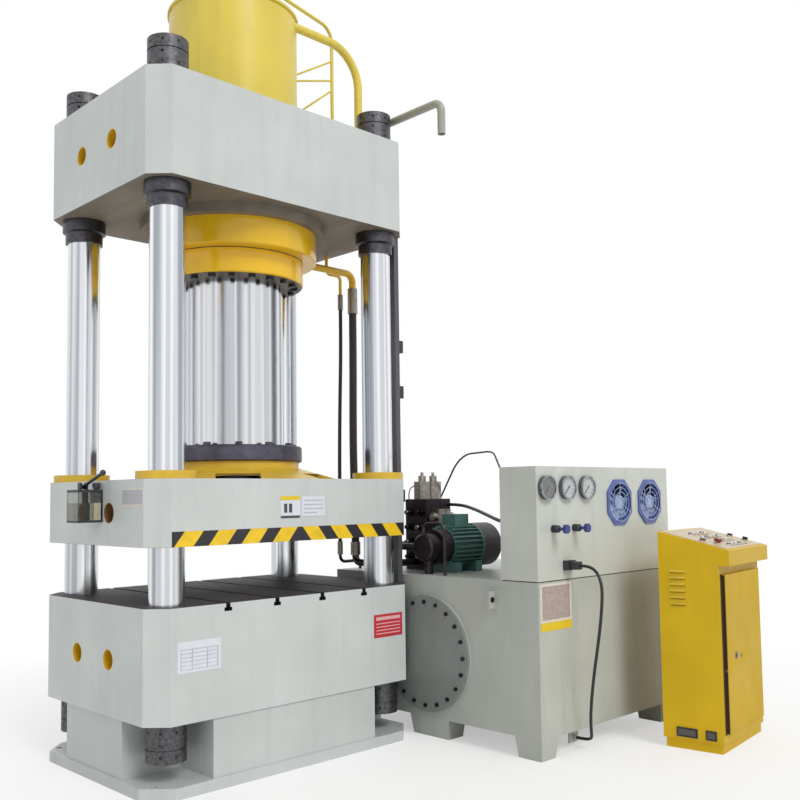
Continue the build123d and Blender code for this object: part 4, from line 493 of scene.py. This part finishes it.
def add_floor(scene):
    """A wide floor that keeps the press's shadow."""
    shape = bmesh.new()
    bmesh.ops.create_grid(shape, x_segments=1, y_segments=1, size=40.0)
    floor = bpy.data.objects.new("floor", mesh_from("floor", shape, floor_paint()))
    scene.collection.objects.link(floor)


class PRESS_OT_stage(bpy.types.Operator):
    """Add the camera, the lights, the pale world and the floor"""

    bl_idname = "press.add_stage"
    bl_label = "Camera, Light and Floor"

    def execute(self, context):
        scene = context.scene
        for add in (add_camera, add_world, add_window_light, add_floor):
            add(scene)
        scene.view_settings.view_transform = "Standard"
        return {"FINISHED"}


class PRESS_OT_cords(bpy.types.Operator):
    """Run the two hydraulic hoses and the control cable"""

    bl_idname = "press.add_cords"
    bl_label = "Hoses and Cable"

    def execute(self, context):
        # moulded synthetic rubber: dull black with a soft sheen and a cloth-wrap grain
        rubber = moulded("synthetic rubber hose cover", "1f1c20", 0.45, 12)
        # extruded PVC: a little glossier than the hose
        sheath = moulded("extruded PVC sheath", "232327", 0.38, 10)
        hose_route = [
            (0.985, 0.0, 2.772), (0.985, 0.0, 2.44), (0.982, 0.004, 2.04), (0.980, 0.002, 1.74),
            (0.984, -0.006, 1.44), (0.984, -0.006, 1.19),
        ]
        thin_hose_route = [
            (0.985, 0.13, 2.82), (0.985, 0.13, 2.52), (0.976, 0.134, 2.18), (0.968, 0.134, 1.84),
            (0.962, 0.13, 1.5), (0.962, 0.13, 1.19),
        ]
        cable_route = [
            (1.25, -1.665, 1.082), (1.25, -1.729, 1.082), (1.24, -1.79, 1.05), (1.232, -1.822, 0.985),
            (1.229, -1.825, 0.9), (1.234, -1.805, 0.76), (1.25, -1.77, 0.62), (1.272, -1.727, 0.47),
            (1.293, -1.692, 0.33), (1.312, -1.668, 0.22), (1.338, -1.65, 0.13), (1.372, -1.632, 0.075),
            (1.405, -1.575, 0.05), (1.405, -1.5, 0.05),
        ]
        cords = (
            ("pressure_hose", hose_route, 0.027, 1.58, "hose_rubber", rubber, "stiff"),
            ("drain_hose", thin_hose_route, 0.013, 1.63, "hose_rubber", rubber, "stiff"),
            ("control_cable", cable_route, 0.009, 1.29, "cable_sheath", sheath, "medium"),
        )
        for node, route, radius, length, slot, material, stiffness in cords:
            piece = curve_piece(node + "_line", route, radius, "press", material)
            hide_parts(node)
        return {"FINISHED"}


class PRESS_OT_frame(bpy.types.Operator):
    """Paint the pedestal, bed, slide, crown, columns and ram"""

    bl_idname = "press.paint_frame"
    bl_label = "Press Frame"

    def execute(self, context):
        finish = context.scene.press_finish
        grey, yellow = tuple(finish.press_paint), tuple(finish.yellow_paint)
        skin = 0.0008
        bed_low, bed_high = box_of("bed")
        slide_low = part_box("slide")[0][2]
        crown_low, crown_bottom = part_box("crown")[0][2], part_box("crown")[1][2] - CROWN_HEIGHT

        paint("pedestal", enamel("pale enamel on the pedestal", shade(grey, 0.92)))
        # milled iron under oil: brown-grey and dull
        milled = linear("3d3538")
        table = across(bed_high.z - skin, bed_high.z + skin)
        # the T-slots are bare inside, 42 mm deep, and lie within 0.51 m of the middle
        slots = ((-0.51, bed_low.y + skin, bed_high.z - 0.043), (0.51, bed_high.y - skin, bed_high.z))
        paint("bed", with_bare_parts_and_painted_light(enamel("enamel with a milled bed top", grey), (table, slots), milled))
        face = across(slide_low - skin, slide_low + skin)
        paint("slide", with_bare_parts_and_painted_light(enamel("enamel with a milled slide face", grey), (face,), milled))
        # the crown's underside and its seat ring are primed brown and oily, and their brown-grey is also
        # painted shade under the crown
        under = across(crown_low - skin, crown_bottom + skin)
        primed_and_shaded = enamel("enamel with a primed underside", grey)
        paint("crown", with_bare_parts_and_painted_light(primed_and_shaded, (under,), linear("82786a")))
        paint("vent_gooseneck", enamel("grey enamel on drawn pipe", linear("a3a398")))

        # the upright bands in the chrome are painted reflections; the ram's are drawn a shade darker
        paint("columns", hard_chrome("hard chrome on ground columns", 70))
        paint("ram", hard_chrome("hard chrome on a ground ram", 75, 0.84))
        # the nuts under the crown, 0.2 m high, are painted darker as shade under the crown
        shaded_nuts = across(crown_bottom - 0.25, crown_bottom)
        oxidised = bare_metal("oxidised turned steel", "68676b", 0.42, 18, 0.5)
        paint("column_nuts", with_bare_parts_and_painted_light(oxidised, (shaded_nuts,), linear("5a595f"), 0.38, 22))
        paint("ram_flange", bare_metal("oxidised forged flange", "5f5d69", 0.42))
        paint("fixed_bolts", bare_metal("oxide-blacked bolt steel", "45434b", 0.4, 20))

        yellow_enamel = enamel("glossy yellow alkyd enamel", yellow, 0.16, 0.84)
        for node in ("main_cylinder", "crown_pipes"):
            paint(node, yellow_enamel)
        # the cast pieces on the slide are duller, with old oil and dust on them
        for node in ("ram_cover", "guide_bushes"):
            paint(node, enamel("dusty yellow enamel on the " + node, linear("dcb63a"), 0.3, 0.8, 0.5, 0.35))
        # the gland's underside and a thin band at the joint above it, 149 mm higher, are painted dark brown
        gland_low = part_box("gland_ring")[0][2]
        oily = (across(gland_low - skin, gland_low + skin), across(gland_low + 0.144, gland_low + 0.150))
        # the ring's yellow is painted 1.14 times lighter than the cylinder's, a painted reflection of the
        # window light on its gloss
        gland = enamel("glossy yellow enamel over an oily face", shade(yellow, 1.14), 0.14, 0.84)
        paint("gland_ring", with_bare_parts_and_painted_light(gland, oily, linear("5c4a2c"), 0.4))
        tank_enamel = enamel("lemon alkyd enamel on sheet steel", linear("dfc952"), 0.3, 0.88, 0.9)
        for node in ("prefill_tank", "tank_lid", "tank_pipe", "pipe_stand"):
            paint(node, tank_enamel)

        paint("prefill_valve", bare_metal("cast iron valve", "6a6866", 0.5))
        paint("ram_seals", moulded("moulded nitrile rubber", "1b1b1c", 0.6))
        paint("switch_rail", enamel("dark grey enamel on a rolled channel", linear("54535a")))
        paint("limit_switches", moulded("die-cast and moulded switch bodies", "2b2c30"))
        paint("trip_dog", bare_metal("milled steel dog", "8e9093", 0.35, 12))
        paint("hose_ferrules", bare_metal("crimped zinc-plated ferrules", "99938a", 0.35, 20))
        return {"FINISHED"}


class PRESS_OT_nut_holes(bpy.types.Operator):
    """Mark the spanner holes round the column nuts"""

    bl_idname = "press.add_nut_holes"
    bl_label = "Spanner Holes"

    def execute(self, context):
        # the holes are deep; near-black discs on the nut faces stand in for them as painted shade in the
        # holes
        hole_shade = moulded("blackened grease in the spanner holes", "131214", 0.5, 6)
        crown_top, bed_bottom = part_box("crown")[1][2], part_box("bed")[0][2]
        column_x, column_y, sunk, count = 0.753, 0.489, 0.0008, 8
        # the radius of a nut and the level of a row of holes on it
        rows = [(0.110, crown_top + rise) for rise in (0.045, 0.165)]
        rows += [(0.105, bed_bottom - drop) for drop in (0.045, 0.165)]
        shape = bmesh.new()
        for side_x, side_y, (nut_radius, level) in product((-1, 1), (-1, 1), rows):
            middle = Vector((side_x * column_x, side_y * column_y, level))
            for number in range(count):
                angle = 2 * math.pi * number / count
                outward = Vector((math.cos(angle), math.sin(angle), 0))
                centre = middle + outward * (nut_radius - sunk)
                add_disc(shape, centre, outward, radius=0.009, length=0.0012, segments=10)
        new_piece("nut_spanner_holes", shape, "press", "black_plastic", hole_shade)
        return {"FINISHED"}


class PRESS_OT_liners(bpy.types.Operator):
    """Line the lifting holes with yellow paint"""

    bl_idname = "press.add_hole_liners"
    bl_label = "Lifting Hole Liners"

    def execute(self, context):
        colour = tuple(context.scene.press_finish.yellow_paint)
        yellow = enamel("yellow enamel brushed in the holes", colour, 0.4, 0.7)
        # the slide's holes have lost most of their paint to rust and oil
        rusty = enamel("rusty brown enamel in the slide's holes", linear("8a5f2c"), 0.55, 0.5)
        outer, wall, half_spacing, inset = 0.0548, 0.0035, 0.18, 0.0005
        for node, body in (("bed", "press"), ("crown", "press"), ("slide", "slide_group")):
            low, high = box_of(node)
            bottom = high.z - CROWN_HEIGHT if node == "crown" else low.z
            shape = bmesh.new()
            for side, place in product((-1, 1), (-half_spacing, half_spacing)):
                mouth = (side * (high.x - inset), place, (high.z + bottom) / 2)
                add_ring(shape, mouth, (-side, 0, 0), outer - wall, outer, length=0.12)
            lining = rusty if node == "slide" else yellow
            new_piece(node + "_hole_liners", shape, body, "yellow_paint", lining)
        return {"FINISHED"}


class PRESS_OT_tape(bpy.types.Operator):
    """Stick the striped warning tape along the slide's lower front edge"""

    bl_idname = "press.add_tape"
    bl_label = "Striped Tape"

    def execute(self, context):
        finish = context.scene.press_finish
        # printed vinyl: clear colours, a slight sheen, scuffed and dusty in places
        black = moulded("black printed vinyl", "26232b", 0.4, 60, 0.7)
        yellow = moulded("yellow printed vinyl", "eec520", 0.4, 60, 0.8)
        slide_low = box_of("slide")[0]
        half_length, middle, thickness = 0.818, 0.001, 0.0008
        left, right = middle - half_length, middle + half_length
        first_gap, stripe_share, lean = 0.018, 0.55, 0.062
        front, bottom, top = slide_low.y, slide_low.z + 0.0005, slide_low.z + finish.tape_height
        shape = bmesh.new()
        add_block(shape, (left, front - thickness, bottom), (right, front, top))
        period = half_length / finish.tape_stripes
        # the stripes lean away from the middle on both halves
        for side, number in product((-1, 1), range(finish.tape_stripes)):
            start = number * period + first_gap
            end = start + period * stripe_share
            outline = ((start, top), (end, top), (end + lean, bottom), (start + lean, bottom))
            front_face, back_face = (
                [shape.verts.new((middle + side * min(along, half_length), y, z)) for along, z in outline]
                for y in (front - 1.6 * thickness, front - thickness / 2)
            )
            for loop in (front_face, back_face[::-1]):
                shape.faces.new(loop).material_index = 1
            bridge(shape, front_face, back_face, 1)
        bmesh.ops.recalc_face_normals(shape, faces=shape.faces)
        new_piece("striped_tape", shape, "slide_group", "black_plastic", black, yellow)
        return {"FINISHED"}


class PRESS_OT_plates(bpy.types.Operator):
    """Fix the bare plates to the bed, the slide and the oil tank"""

    bl_idname = "press.add_plates"
    bl_label = "Bare Plates"

    def execute(self, context):
        # printed aluminium: even ink, soft sheen, faint handling marks
        white = moulded("white printed aluminium", "d6d9e0", 0.35, 40, 0.93)
        red = moulded("red printed aluminium", "bf2f3c", 0.35, 40, 0.85)
        ruled = moulded("grey ruled lines", "b2b4bf", 0.4, 20)
        pale = moulded("pale ruled lines on red", "dfa9ab", 0.4, 20)
        # stuck vinyl: softer edges, faded and dusty
        yellow = moulded("yellow vinyl", "e2c22a", 0.4, 40, 0.88)
        faded = moulded("faded printed vinyl", "b0a09c", 0.45, 14, 0.7)
        border = moulded("pale vinyl border", "d9d3c8", 0.45, 40)
        dark = moulded("dark printed band", "45454f", 0.4, 20)
        silver = bare_metal("etched aluminium", "b4b6ba", 0.35, 20, 0.85, metallic=0.6)
        bed_front, slide_front, tank_front = (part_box(node)[0][1] for node in ("bed", "slide", "oil_tank"))

        line = 0.0025
        levels = (0.635, 0.655, 0.675, 0.695, 0.715, 0.735)
        rows = [(-0.765, level, -0.545, level + line, 1) for level in levels]
        columns = [(x, levels[0], x + line, levels[-1] + line, 1) for x in (-0.765, -0.70, -0.61, -0.5475)]
        plate = (-0.783, 0.620, -0.526, 0.777, 0)
        face_patches(
            "bed_data_plate", bed_front, "press", "silver_alloy", [plate, *rows, *columns], white, ruled,
        )
        line = 0.006
        rows = [(0.575, level, 0.775, level + line, 1) for level in (0.665, 0.685, 0.705, 0.725)]
        heading, plate = (0.575, 0.748, 0.775, 0.768, 1), (0.557, 0.645, 0.793, 0.783, 0)
        face_patches("bed_red_plate", bed_front, "press", "red_plastic", [plate, *rows, heading], red, pale)
        label = [
            (-0.134, 1.384, 0.0, 1.508, 0), (-0.134, 1.484, 0.0, 1.508, 1), (-0.134, 1.384, 0.0, 1.398, 2),
            (-0.112, 1.415, -0.090, 1.465, 2), (-0.078, 1.415, -0.056, 1.465, 2),
        ]
        card = [(0.012, 1.392, 0.181, 1.505, 0)]
        for level, right in ((1.478, 0.167), (1.455, 0.167), (1.432, 0.167), (1.409, 0.120)):
            card.append((0.026, level, right, level + line, 3))
        inks = (white, yellow, dark, ruled)
        face_patches("slide_label", slide_front, "slide_group", "silver_alloy", label + card, *inks)
        sticker = [
            (0.987, 0.720, 1.281, 0.986, 0), (0.987, 0.720, 1.281, 0.768, 1), (1.002, 0.782, 1.266, 0.972, 2),
        ]
        face_patches("tank_label", tank_front, "press", "yellow_paint", sticker, border, yellow, faded)
        side_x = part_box("slide")[0][0]
        shape = bmesh.new()
        add_block(shape, (side_x - 0.0012, -0.548, 1.467), (side_x, -0.324, 1.558), 2)
        add_block(shape, (side_x - 0.0016, -0.540, 1.475), (side_x - 0.0008, -0.332, 1.550), 0)
        for level in (1.49, 1.51, 1.53):
            add_block(shape, (side_x - 0.0019, -0.525, level), (side_x - 0.0012, -0.347, level + 0.004), 1)
        new_piece("slide_side_plate", shape, "slide_group", "silver_alloy", silver, ruled, border)
        return {"FINISHED"}


class PRESS_OT_lubricator(bpy.types.Operator):
    """Finish the lubricator on the slide and fill its reservoir"""

    bl_idname = "press.finish_lubricator"
    bl_label = "Lubricator"

    def execute(self, context):
        # die-cast and painted black: a dull dark grey
        paint("lubricator_pump", moulded("black painted die casting", "34343a", 0.45))
        # turned phenolic and steel handle
        paint("lubricator_lever", moulded("black oxide lever with a phenolic knob", "2a2b33", 0.35))
        # blown acrylic reservoir, slightly smoky
        paint("lubricator_reservoir", clear("smoky acrylic reservoir", "d9dad6", 0.08, 1.49))
        # light mineral oil: nearly clear, faintly straw
        oil = clear("light mineral oil", "ece6d2", 0.02, 1.47)
        low, high = box_of("lubricator_reservoir")
        wall, base, fill = 0.0045, 0.0005, 0.62
        oil_top = low.z + fill * (high.z - low.z)
        shape = bmesh.new()
        add_block(shape, (low.x + wall, low.y + wall, low.z + base), (high.x - wall, high.y - wall, oil_top))
        new_piece("reservoir_oil", shape, "slide_group", "clear_plastic", oil)
        return {"FINISHED"}


class PRESS_OT_pack(bpy.types.Operator):
    """Paint the oil tank, motor, pump and valves, and add their plugs and tubes"""

    bl_idname = "press.paint_pack"
    bl_label = "Power Pack"

    def execute(self, context):
        grey = tuple(context.scene.press_finish.pack_paint)
        paint("oil_tank", enamel("warm grey alkyd enamel on plate", grey, 0.36, 0.85))
        # the groove where the box stands on the tank is painted dark as shade in the seam, and the box's grey
        # is painted 1.22 times lighter than the tank's as painted light on the higher box
        low, high = box_of("instrument_box")
        shaded_groove = (low - Vector((0.01, 0.01, 0.001)), Vector((high.x + 0.01, high.y + 0.01, low.z + 0.0056)))
        lit_box_paint = enamel("warm grey enamel with a dusty seam", shade(grey, 1.22), 0.36, 0.85)
        paint("instrument_box", with_bare_parts_and_painted_light(lit_box_paint, (shaded_groove,), linear("3b3833"), 0.8))
        darker = enamel("darker grey enamel on a turned cover", linear("858b87"), 0.36, 0.85)
        paint("inspection_cover", darker)
        paint("motor", enamel("dark green motor enamel", linear("4b726b"), 0.35, 0.7))
        paint("motor_cowl", moulded("black painted pressed cowl", "2a272b", 0.4))
        paint("pump", bare_metal("oily cast iron pump", "453e43", 0.5, 40, 0.55))
        paint("valve_block", bare_metal("oily forged valve block", "463e42", 0.5, 40, 0.55))
        paint("pilot_valves", bare_metal("plated valve bodies", "b5aea6", 0.4, 30, 0.5))
        paint("steel_tubes", bare_metal("phosphated steel tube", "4c474b", 0.4))
        paint("motor_rotor", bare_metal("turned rotor steel", "8b8d90", 0.4))

        # black painted steel tube from the valve block over the motor to the instrument box
        black = enamel("black enamel on a return tube", linear("2c272c"), 0.4, 0.6)
        route = [
            (1.50, -0.38, 1.435), (1.511, -0.5, 1.436), (1.382, -0.75, 1.405), (1.22, -1.0, 1.37),
            (1.09, -1.2, 1.34), (1.05, -1.312, 1.33),
        ]
        curve_piece("return_tube", route, 0.011, "press", black)

        # plugs and small fittings crowd the block's left and front faces
        zinc = bare_metal("zinc-plated plugs", "8f8a86", 0.35, 10, 0.5)
        sooty = bare_metal("oily black fittings", "2e2a30", 0.45, 20, 0.5)
        block = box_of("valve_block")[0]
        left, sunk = (-1, 0, 0), 0.001
        shape = bmesh.new()
        for row, column in product(range(4), range(2)):
            y, z = block.y + (0.05, 0.15)[column], block.z + 0.09 + 0.1 * row
            add_disc(shape, (block.x + sunk, y, z), left, radius=0.026, length=0.022, segments=6, material=1)
            stem, metal = (block.x - 0.020, y, z), (row + column) % 2
            add_disc(shape, stem, left, radius=0.014, length=0.03, segments=16, material=metal)
        for x, z in product((0.03, 0.21), (0.06, 0.16)):
            centre = (block.x + x, block.y + sunk, block.z + z)
            add_disc(shape, centre, FORWARD, radius=0.022, length=0.026, segments=6)
        new_piece("block_plugs", shape, "press", "dark_steel", zinc, sooty)

        # the eye through the lifting lug is a dark disc, painted shade in the hole, with a bright worn rim
        low, high = box_of("oil_tank")
        eye = (low.x + 0.024, low.y + 0.318, high.z - 0.112)
        shape = bmesh.new()
        add_ring(shape, eye, FORWARD, inner=0.014, outer=0.018, length=0.001, segments=24, material=1)
        add_disc(shape, eye, FORWARD, radius=0.014, length=0.0008)
        new_piece("lug_eye", shape, "press", "dark_steel", sooty, zinc)

        # dulled copper capillary looped at the valve block's left end
        copper = bare_metal("dulled copper capillary", "6b564c", 0.4, 20)
        bends = ((1.285, 1.566), (1.25, 1.566), (1.215, 1.53), (1.215, 1.45), (1.285, 1.42))
        route = [(x, -0.3, z) for x, z in bends]
        curve_piece("pilot_line", route, 0.004, "press", copper)
        return {"FINISHED"}


class PRESS_OT_gauges(bpy.types.Operator):
    """Finish the three gauges with their dials and bezels"""

    bl_idname = "press.finish_gauges"
    bl_label = "Gauges"

    def execute(self, context):
        # drawn stainless cases and polished bezels
        paint("gauge_cases", bare_metal("smoked stainless gauge case", "74767b", 0.22, 40, 0.6))
        rim = bare_metal("polished bezel ring", "a9acb2", 0.12, 30, 0.6)
        paint("gauge_glasses", clear("float glass gauge window", "f4f8f8", 0.02, 1.5))
        # silk-screened white dials with black divisions; the first is painted dark grey, as shade falls on it
        white = moulded("white painted dial", "eef0f0", 0.5, 40, 0.94)
        soiled_and_shaded = moulded("dial painted dark as shade", "8f8d86", 0.5, 20, 0.6)
        ink = moulded("black dial ink", "1c1d20", 0.5, 10)
        first_angle, step, marks, mark_end = 225, 10, 28, 0.057
        # where a mark starts and half its width
        long_mark, short_mark = (0.043, 0.0018), (0.050, 0.0011)
        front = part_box("instrument_box")[0][1]
        dial_y, bezel_y = front - 0.020, front - 0.0325
        for side in ("left", "middle", "right"):
            paint("gauge_pointer_" + side, moulded("black painted pointer " + side, "17181a", 0.4, 10))
            x, _, z = joint_place("gauge_sweep_" + side)
            shape = bmesh.new()
            add_ring(shape, (x, dial_y, z), FORWARD, inner=0.0035, outer=0.0628, length=0.0006, segments=48)
            for number in range(marks):
                angle = math.radians(first_angle - step * number)
                inner, half = long_mark if number % 3 == 0 else short_mark
                turn = Matrix.Translation((x, 0, z)) @ Matrix.Rotation(-angle, 4, "Y")
                add_block(shape, (inner, dial_y - 0.0009, -half), (mark_end, dial_y - 0.0004, half), 1, turn)
            new_piece("dial_" + side, shape, "press", "gauge_glass", soiled_and_shaded if side == "left" else white, ink)
            shape = bmesh.new()
            add_ring(shape, (x, bezel_y, z), BACKWARD, inner=0.0625, outer=0.0715, length=0.008, segments=48)
            new_piece("bezel_" + side, shape, "press", "silver_alloy", rim)
        return {"FINISHED"}


class PRESS_OT_fans(bpy.types.Operator):
    """Finish the two fans with their wire guards and filter mats"""

    bl_idname = "press.finish_fans"
    bl_label = "Fans"

    def execute(self, context):
        # glossy moulded ABS: deep blue frames and pale blue blades
        paint("fan_frames", moulded("blue moulded fan frame", "5565a6", 0.35, 50))
        wire = bare_metal("bright wire guard", "c9d2e6", 0.25, 20, 0.85)
        # felted filter mat behind the blades, blue with dust
        mat = moulded("felted filter mat", "39477c", 0.9, 12, 0.6)
        guard_radii, half_wire, wire_depth = (0.036, 0.064, 0.092, 0.120), 0.0014, 0.003
        spokes, spoke_start, spoke_end = 6, 0.034, 0.128
        guard_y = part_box("instrument_box")[0][1] - 0.013
        frame_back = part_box("fan_frames")[1][1]
        for side in ("left", "right"):
            paint("fan_rotor_" + side, moulded("pale blue moulded blades " + side, "9fb3dc", 0.3, 50))
            x, _, z = joint_place("fan_spin_" + side)
            shape = bmesh.new()
            for radius in guard_radii:
                add_ring(shape, (x, guard_y, z), FORWARD, radius - half_wire, radius + half_wire, wire_depth)
            for number in range(spokes):
                spin = Matrix.Rotation(math.radians(30 + 360 / spokes * number), 4, "Y")
                turn = Matrix.Translation((x, 0, z)) @ spin
                ends = (spoke_start, guard_y, -half_wire), (spoke_end, guard_y + wire_depth, half_wire)
                add_block(shape, *ends, turn=turn)
            new_piece("fan_guard_" + side, shape, "press", "steel_pipe", wire)
            shape = bmesh.new()
            add_disc(shape, (x, frame_back, z), BACKWARD, radius=0.126, length=0.006, segments=48)
            new_piece("fan_filter_" + side, shape, "press", "black_plastic", mat)
        return {"FINISHED"}


class PRESS_OT_fittings(bpy.types.Operator):
    """Finish the needle valves and the cable connector"""

    bl_idname = "press.finish_fittings"
    bl_label = "Valves and Connector"

    def execute(self, context):
        paint("needle_valve_bodies", bare_metal("blackened valve body", "4d4e54", 0.35, 20))
        # glossy moulded ABS knobs
        for side in ("left", "right"):
            paint("needle_valve_knob_" + side, moulded("glossy blue ABS " + side, "31407f", 0.3, 20))
        paint("cable_connector", moulded("dark grey moulded connector", "36363b", 0.4, 20))
        return {"FINISHED"}


class PRESS_OT_console(bpy.types.Operator):
    """Paint the control console and fit its sockets, its strips of painted gap shade and its lock"""

    bl_idname = "press.finish_console"
    bl_label = "Control Console"

    def execute(self, context):
        colour = tuple(context.scene.press_finish.console_paint)
        place = console_place()
        folded = enamel("yellow enamel on folded sheet", colour, 0.4, 0.86, 0.2, 0.3)
        # painted shade lies under each of the pressed louvres, and a painted highlight along their upper
        # edges
        louvres, first_level, pitch = 6, 0.840, 0.038
        near, far = place @ Vector((0, 0.200, 0)), place @ Vector((0, 0.292, 0))
        under, over = [], []
        for number in range(louvres):
            level = first_level + pitch * number
            for painted_light_bands, low, high in ((under, -0.0130, -0.0036), (over, 0.001, 0.008)):
                painted_light_bands.append(((far.x - 0.02, near.y, level + low), (near.x + 0.002, far.y, level + high)))
        folded = with_bare_parts_and_painted_light(folded, under, linear("c2a021"), 0.6)
        folded = with_bare_parts_and_painted_light(folded, over, linear("f0d45c"), 0.45)
        # the faces that look forward, the front lip and the plinth among them, and the door are painted
        # darker as shade
        shaded_yellow, outward = shade(colour, 0.72), place.to_3x3() @ Vector(FORWARD)
        paint("console_cabinet", with_shaded_side(folded, outward, shaded_yellow))
        paint("console_door", enamel("yellow enamel on the door", shaded_yellow, 0.5, 0.86, 0.2, 0.3))

        # black moulded sockets low on the side, each with a greyer face
        socket = moulded("black moulded sockets", "2b2a2c", 0.5)
        socket_face = moulded("socket faces", "55544f", 0.5)
        bottom, top, proud, edge, sunk = 0.072, 0.126, 0.006, 0.010, 0.001
        shape = bmesh.new()
        for start, end in ((0.154, 0.279), (0.042, 0.105)):
            add_block(shape, (-proud, start, bottom), (sunk, end, top), 0, place)
            face_low = (-proud - 0.0015, start + edge, bottom + edge)
            add_block(shape, face_low, (sunk - proud, end - edge, top - edge), 1, place)
        new_piece("side_sockets", shape, "press", "black_plastic", socket, socket_face)

        # a brown-black strip, drawn as a foam gasket, is painted shade in the gap along the door's free edge
        gap_shade = moulded("foam rubber door gasket", "3a2615", 0.8, 8)
        steel = bare_metal("zinc-plated lock", "8b8a80", 0.35, 10)
        keyway = moulded("black keyway", "17140f", 0.5, 6)
        olive = moulded("olive paint scuffs", "8f8526", 0.5, 8, 0.6)
        door_face, lock_length = -0.0178, 0.004
        shape = bmesh.new()
        add_block(shape, (0.0485, -0.0175, 0.112), (0.0503, -0.001, 1.012), 0, place)
        add_block(shape, (0.046, -0.016, 0.460), (0.0503, -0.006, 0.476), 1, place)
        for x, z, radius in ((0.189, 0.540, 0.024), (0.274, 0.529, 0.010)):
            add_disc(shape, (x, door_face, z), FORWARD, radius, lock_length, material=1, turn=place)
            lock_face = (x, door_face - lock_length + 0.0002, z)
            add_disc(shape, lock_face, FORWARD, radius * 0.55, 0.0006, material=2, turn=place)
        for x, low, high in ((0.412, 0.610, 0.647), (0.421, 0.568, 0.592)):
            add_block(shape, (x - 0.010, -0.0189, low), (x + 0.010, -0.0176, high), 3, place)
        new_piece("door_trim", shape, "console_door_group", "black_plastic", gap_shade, steel, keyway, olive)
        # a dark strip on the cabinet behind the door's free edge, painted shade in the gap
        shape = bmesh.new()
        add_block(shape, (0.024, -0.0012, 0.104), (0.0495, 0.0005, 1.020), 0, place)
        new_piece("cabinet_gap_shade", shape, "press", "black_plastic", gap_shade)
        return {"FINISHED"}


class PRESS_OT_panel_controls(bpy.types.Operator):
    """Finish the sloping panel and fill it with lamps and blank tags"""

    bl_idname = "press.finish_panel"
    bl_label = "Control Panel"

    def execute(self, context):
        # brushed aluminium under yellowed lacquer: a warm, dull and barely metallic sheen
        lacquered = bare_metal("lacquered aluminium panel", "d4c4a8", 0.42, 30, 0.85, metallic=0.25)
        paint("control_panel", lacquered)
        paint("emergency_stop", moulded("dark red moulded mushroom head", "8c2334", 0.3, 20))
        paint("selector_switch", moulded("black moulded selector", "222227", 0.35, 20))
        paint("press_button_left", moulded("plum moulded button", "5a2c45", 0.3, 20))
        paint("press_button_right", moulded("black moulded button", "26262b", 0.3, 20))
        tag = moulded("engraved blank tags", "5b5763", 0.45, 10)
        lens = moulded("milky lamp lens", "eef0ec", 0.25, 10, 0.9)
        violet = moulded("violet lamp lens", "6b4c78", 0.25, 10)
        collar = bare_metal("chromed lamp collar", "b9babd", 0.25, 10)
        place = panel_place()
        out, face, sunk = (0, 0, 1), 0.004, 0.0005
        half_tag, tag_start, tag_end, tag_height = 0.016, 0.032, 0.021, 0.001
        first_u, first_v, across_pitch, up_pitch = 0.225, 0.085, 0.06, 0.08
        rounded = {"segments": 20, "turn": place}
        shape = bmesh.new()
        for row, column in product(range(4), range(5)):
            u, v = first_u + across_pitch * column, first_v + up_pitch * row
            add_disc(shape, (u, v, face - sunk), out, radius=0.012, length=0.004, material=2, **rounded)
            cap = 1 if (row + column) % 3 == 0 else 0
            add_disc(shape, (u, v, face + 0.003), out, radius=0.0085, length=0.006, material=cap, **rounded)
            low = (u - half_tag, v - tag_start, face - sunk)
            add_block(shape, low, (u + half_tag, v - tag_end, face + tag_height), 3, place)
        new_piece("panel_lamps", shape, "press", "silver_alloy", lens, violet, collar, tag)
        return {"FINISHED"}


OPERATORS = (
    PRESS_OT_stage, PRESS_OT_cords, PRESS_OT_frame, PRESS_OT_nut_holes, PRESS_OT_liners, PRESS_OT_tape,
    PRESS_OT_plates, PRESS_OT_lubricator, PRESS_OT_pack, PRESS_OT_gauges, PRESS_OT_fans, PRESS_OT_fittings,
    PRESS_OT_console, PRESS_OT_panel_controls,
)


class PRESS_PT_panel(bpy.types.Panel):
    """Lists the steps that dress the press"""

    bl_idname = "PRESS_PT_panel"
    bl_label = "Hydraulic Press"
    bl_space_type = "VIEW_3D"
    bl_region_type = "UI"
    bl_category = "Press"

    def draw(self, context):
        finish = context.scene.press_finish
        for name in PressFinish.__annotations__:
            self.layout.prop(finish, name)
        for operator in OPERATORS:
            self.layout.operator(operator.bl_idname)


CLASSES = (PressFinish, *OPERATORS, PRESS_PT_panel)


def register():
    """Registers the classes and the scene's settings."""
    for each in CLASSES:
        bpy.utils.register_class(each)
    bpy.types.Scene.press_finish = PointerProperty(type=PressFinish)


def unregister():
    """Takes the settings and the classes away again."""
    del bpy.types.Scene.press_finish
    for each in reversed(CLASSES):
        bpy.utils.unregister_class(each)


def main():
    """Dresses the press step by step."""
    register()
    for operator in OPERATORS:
        group, name = operator.bl_idname.split(".")
        getattr(getattr(bpy.ops, group), name)()


if __name__ == "__main__":
    main()
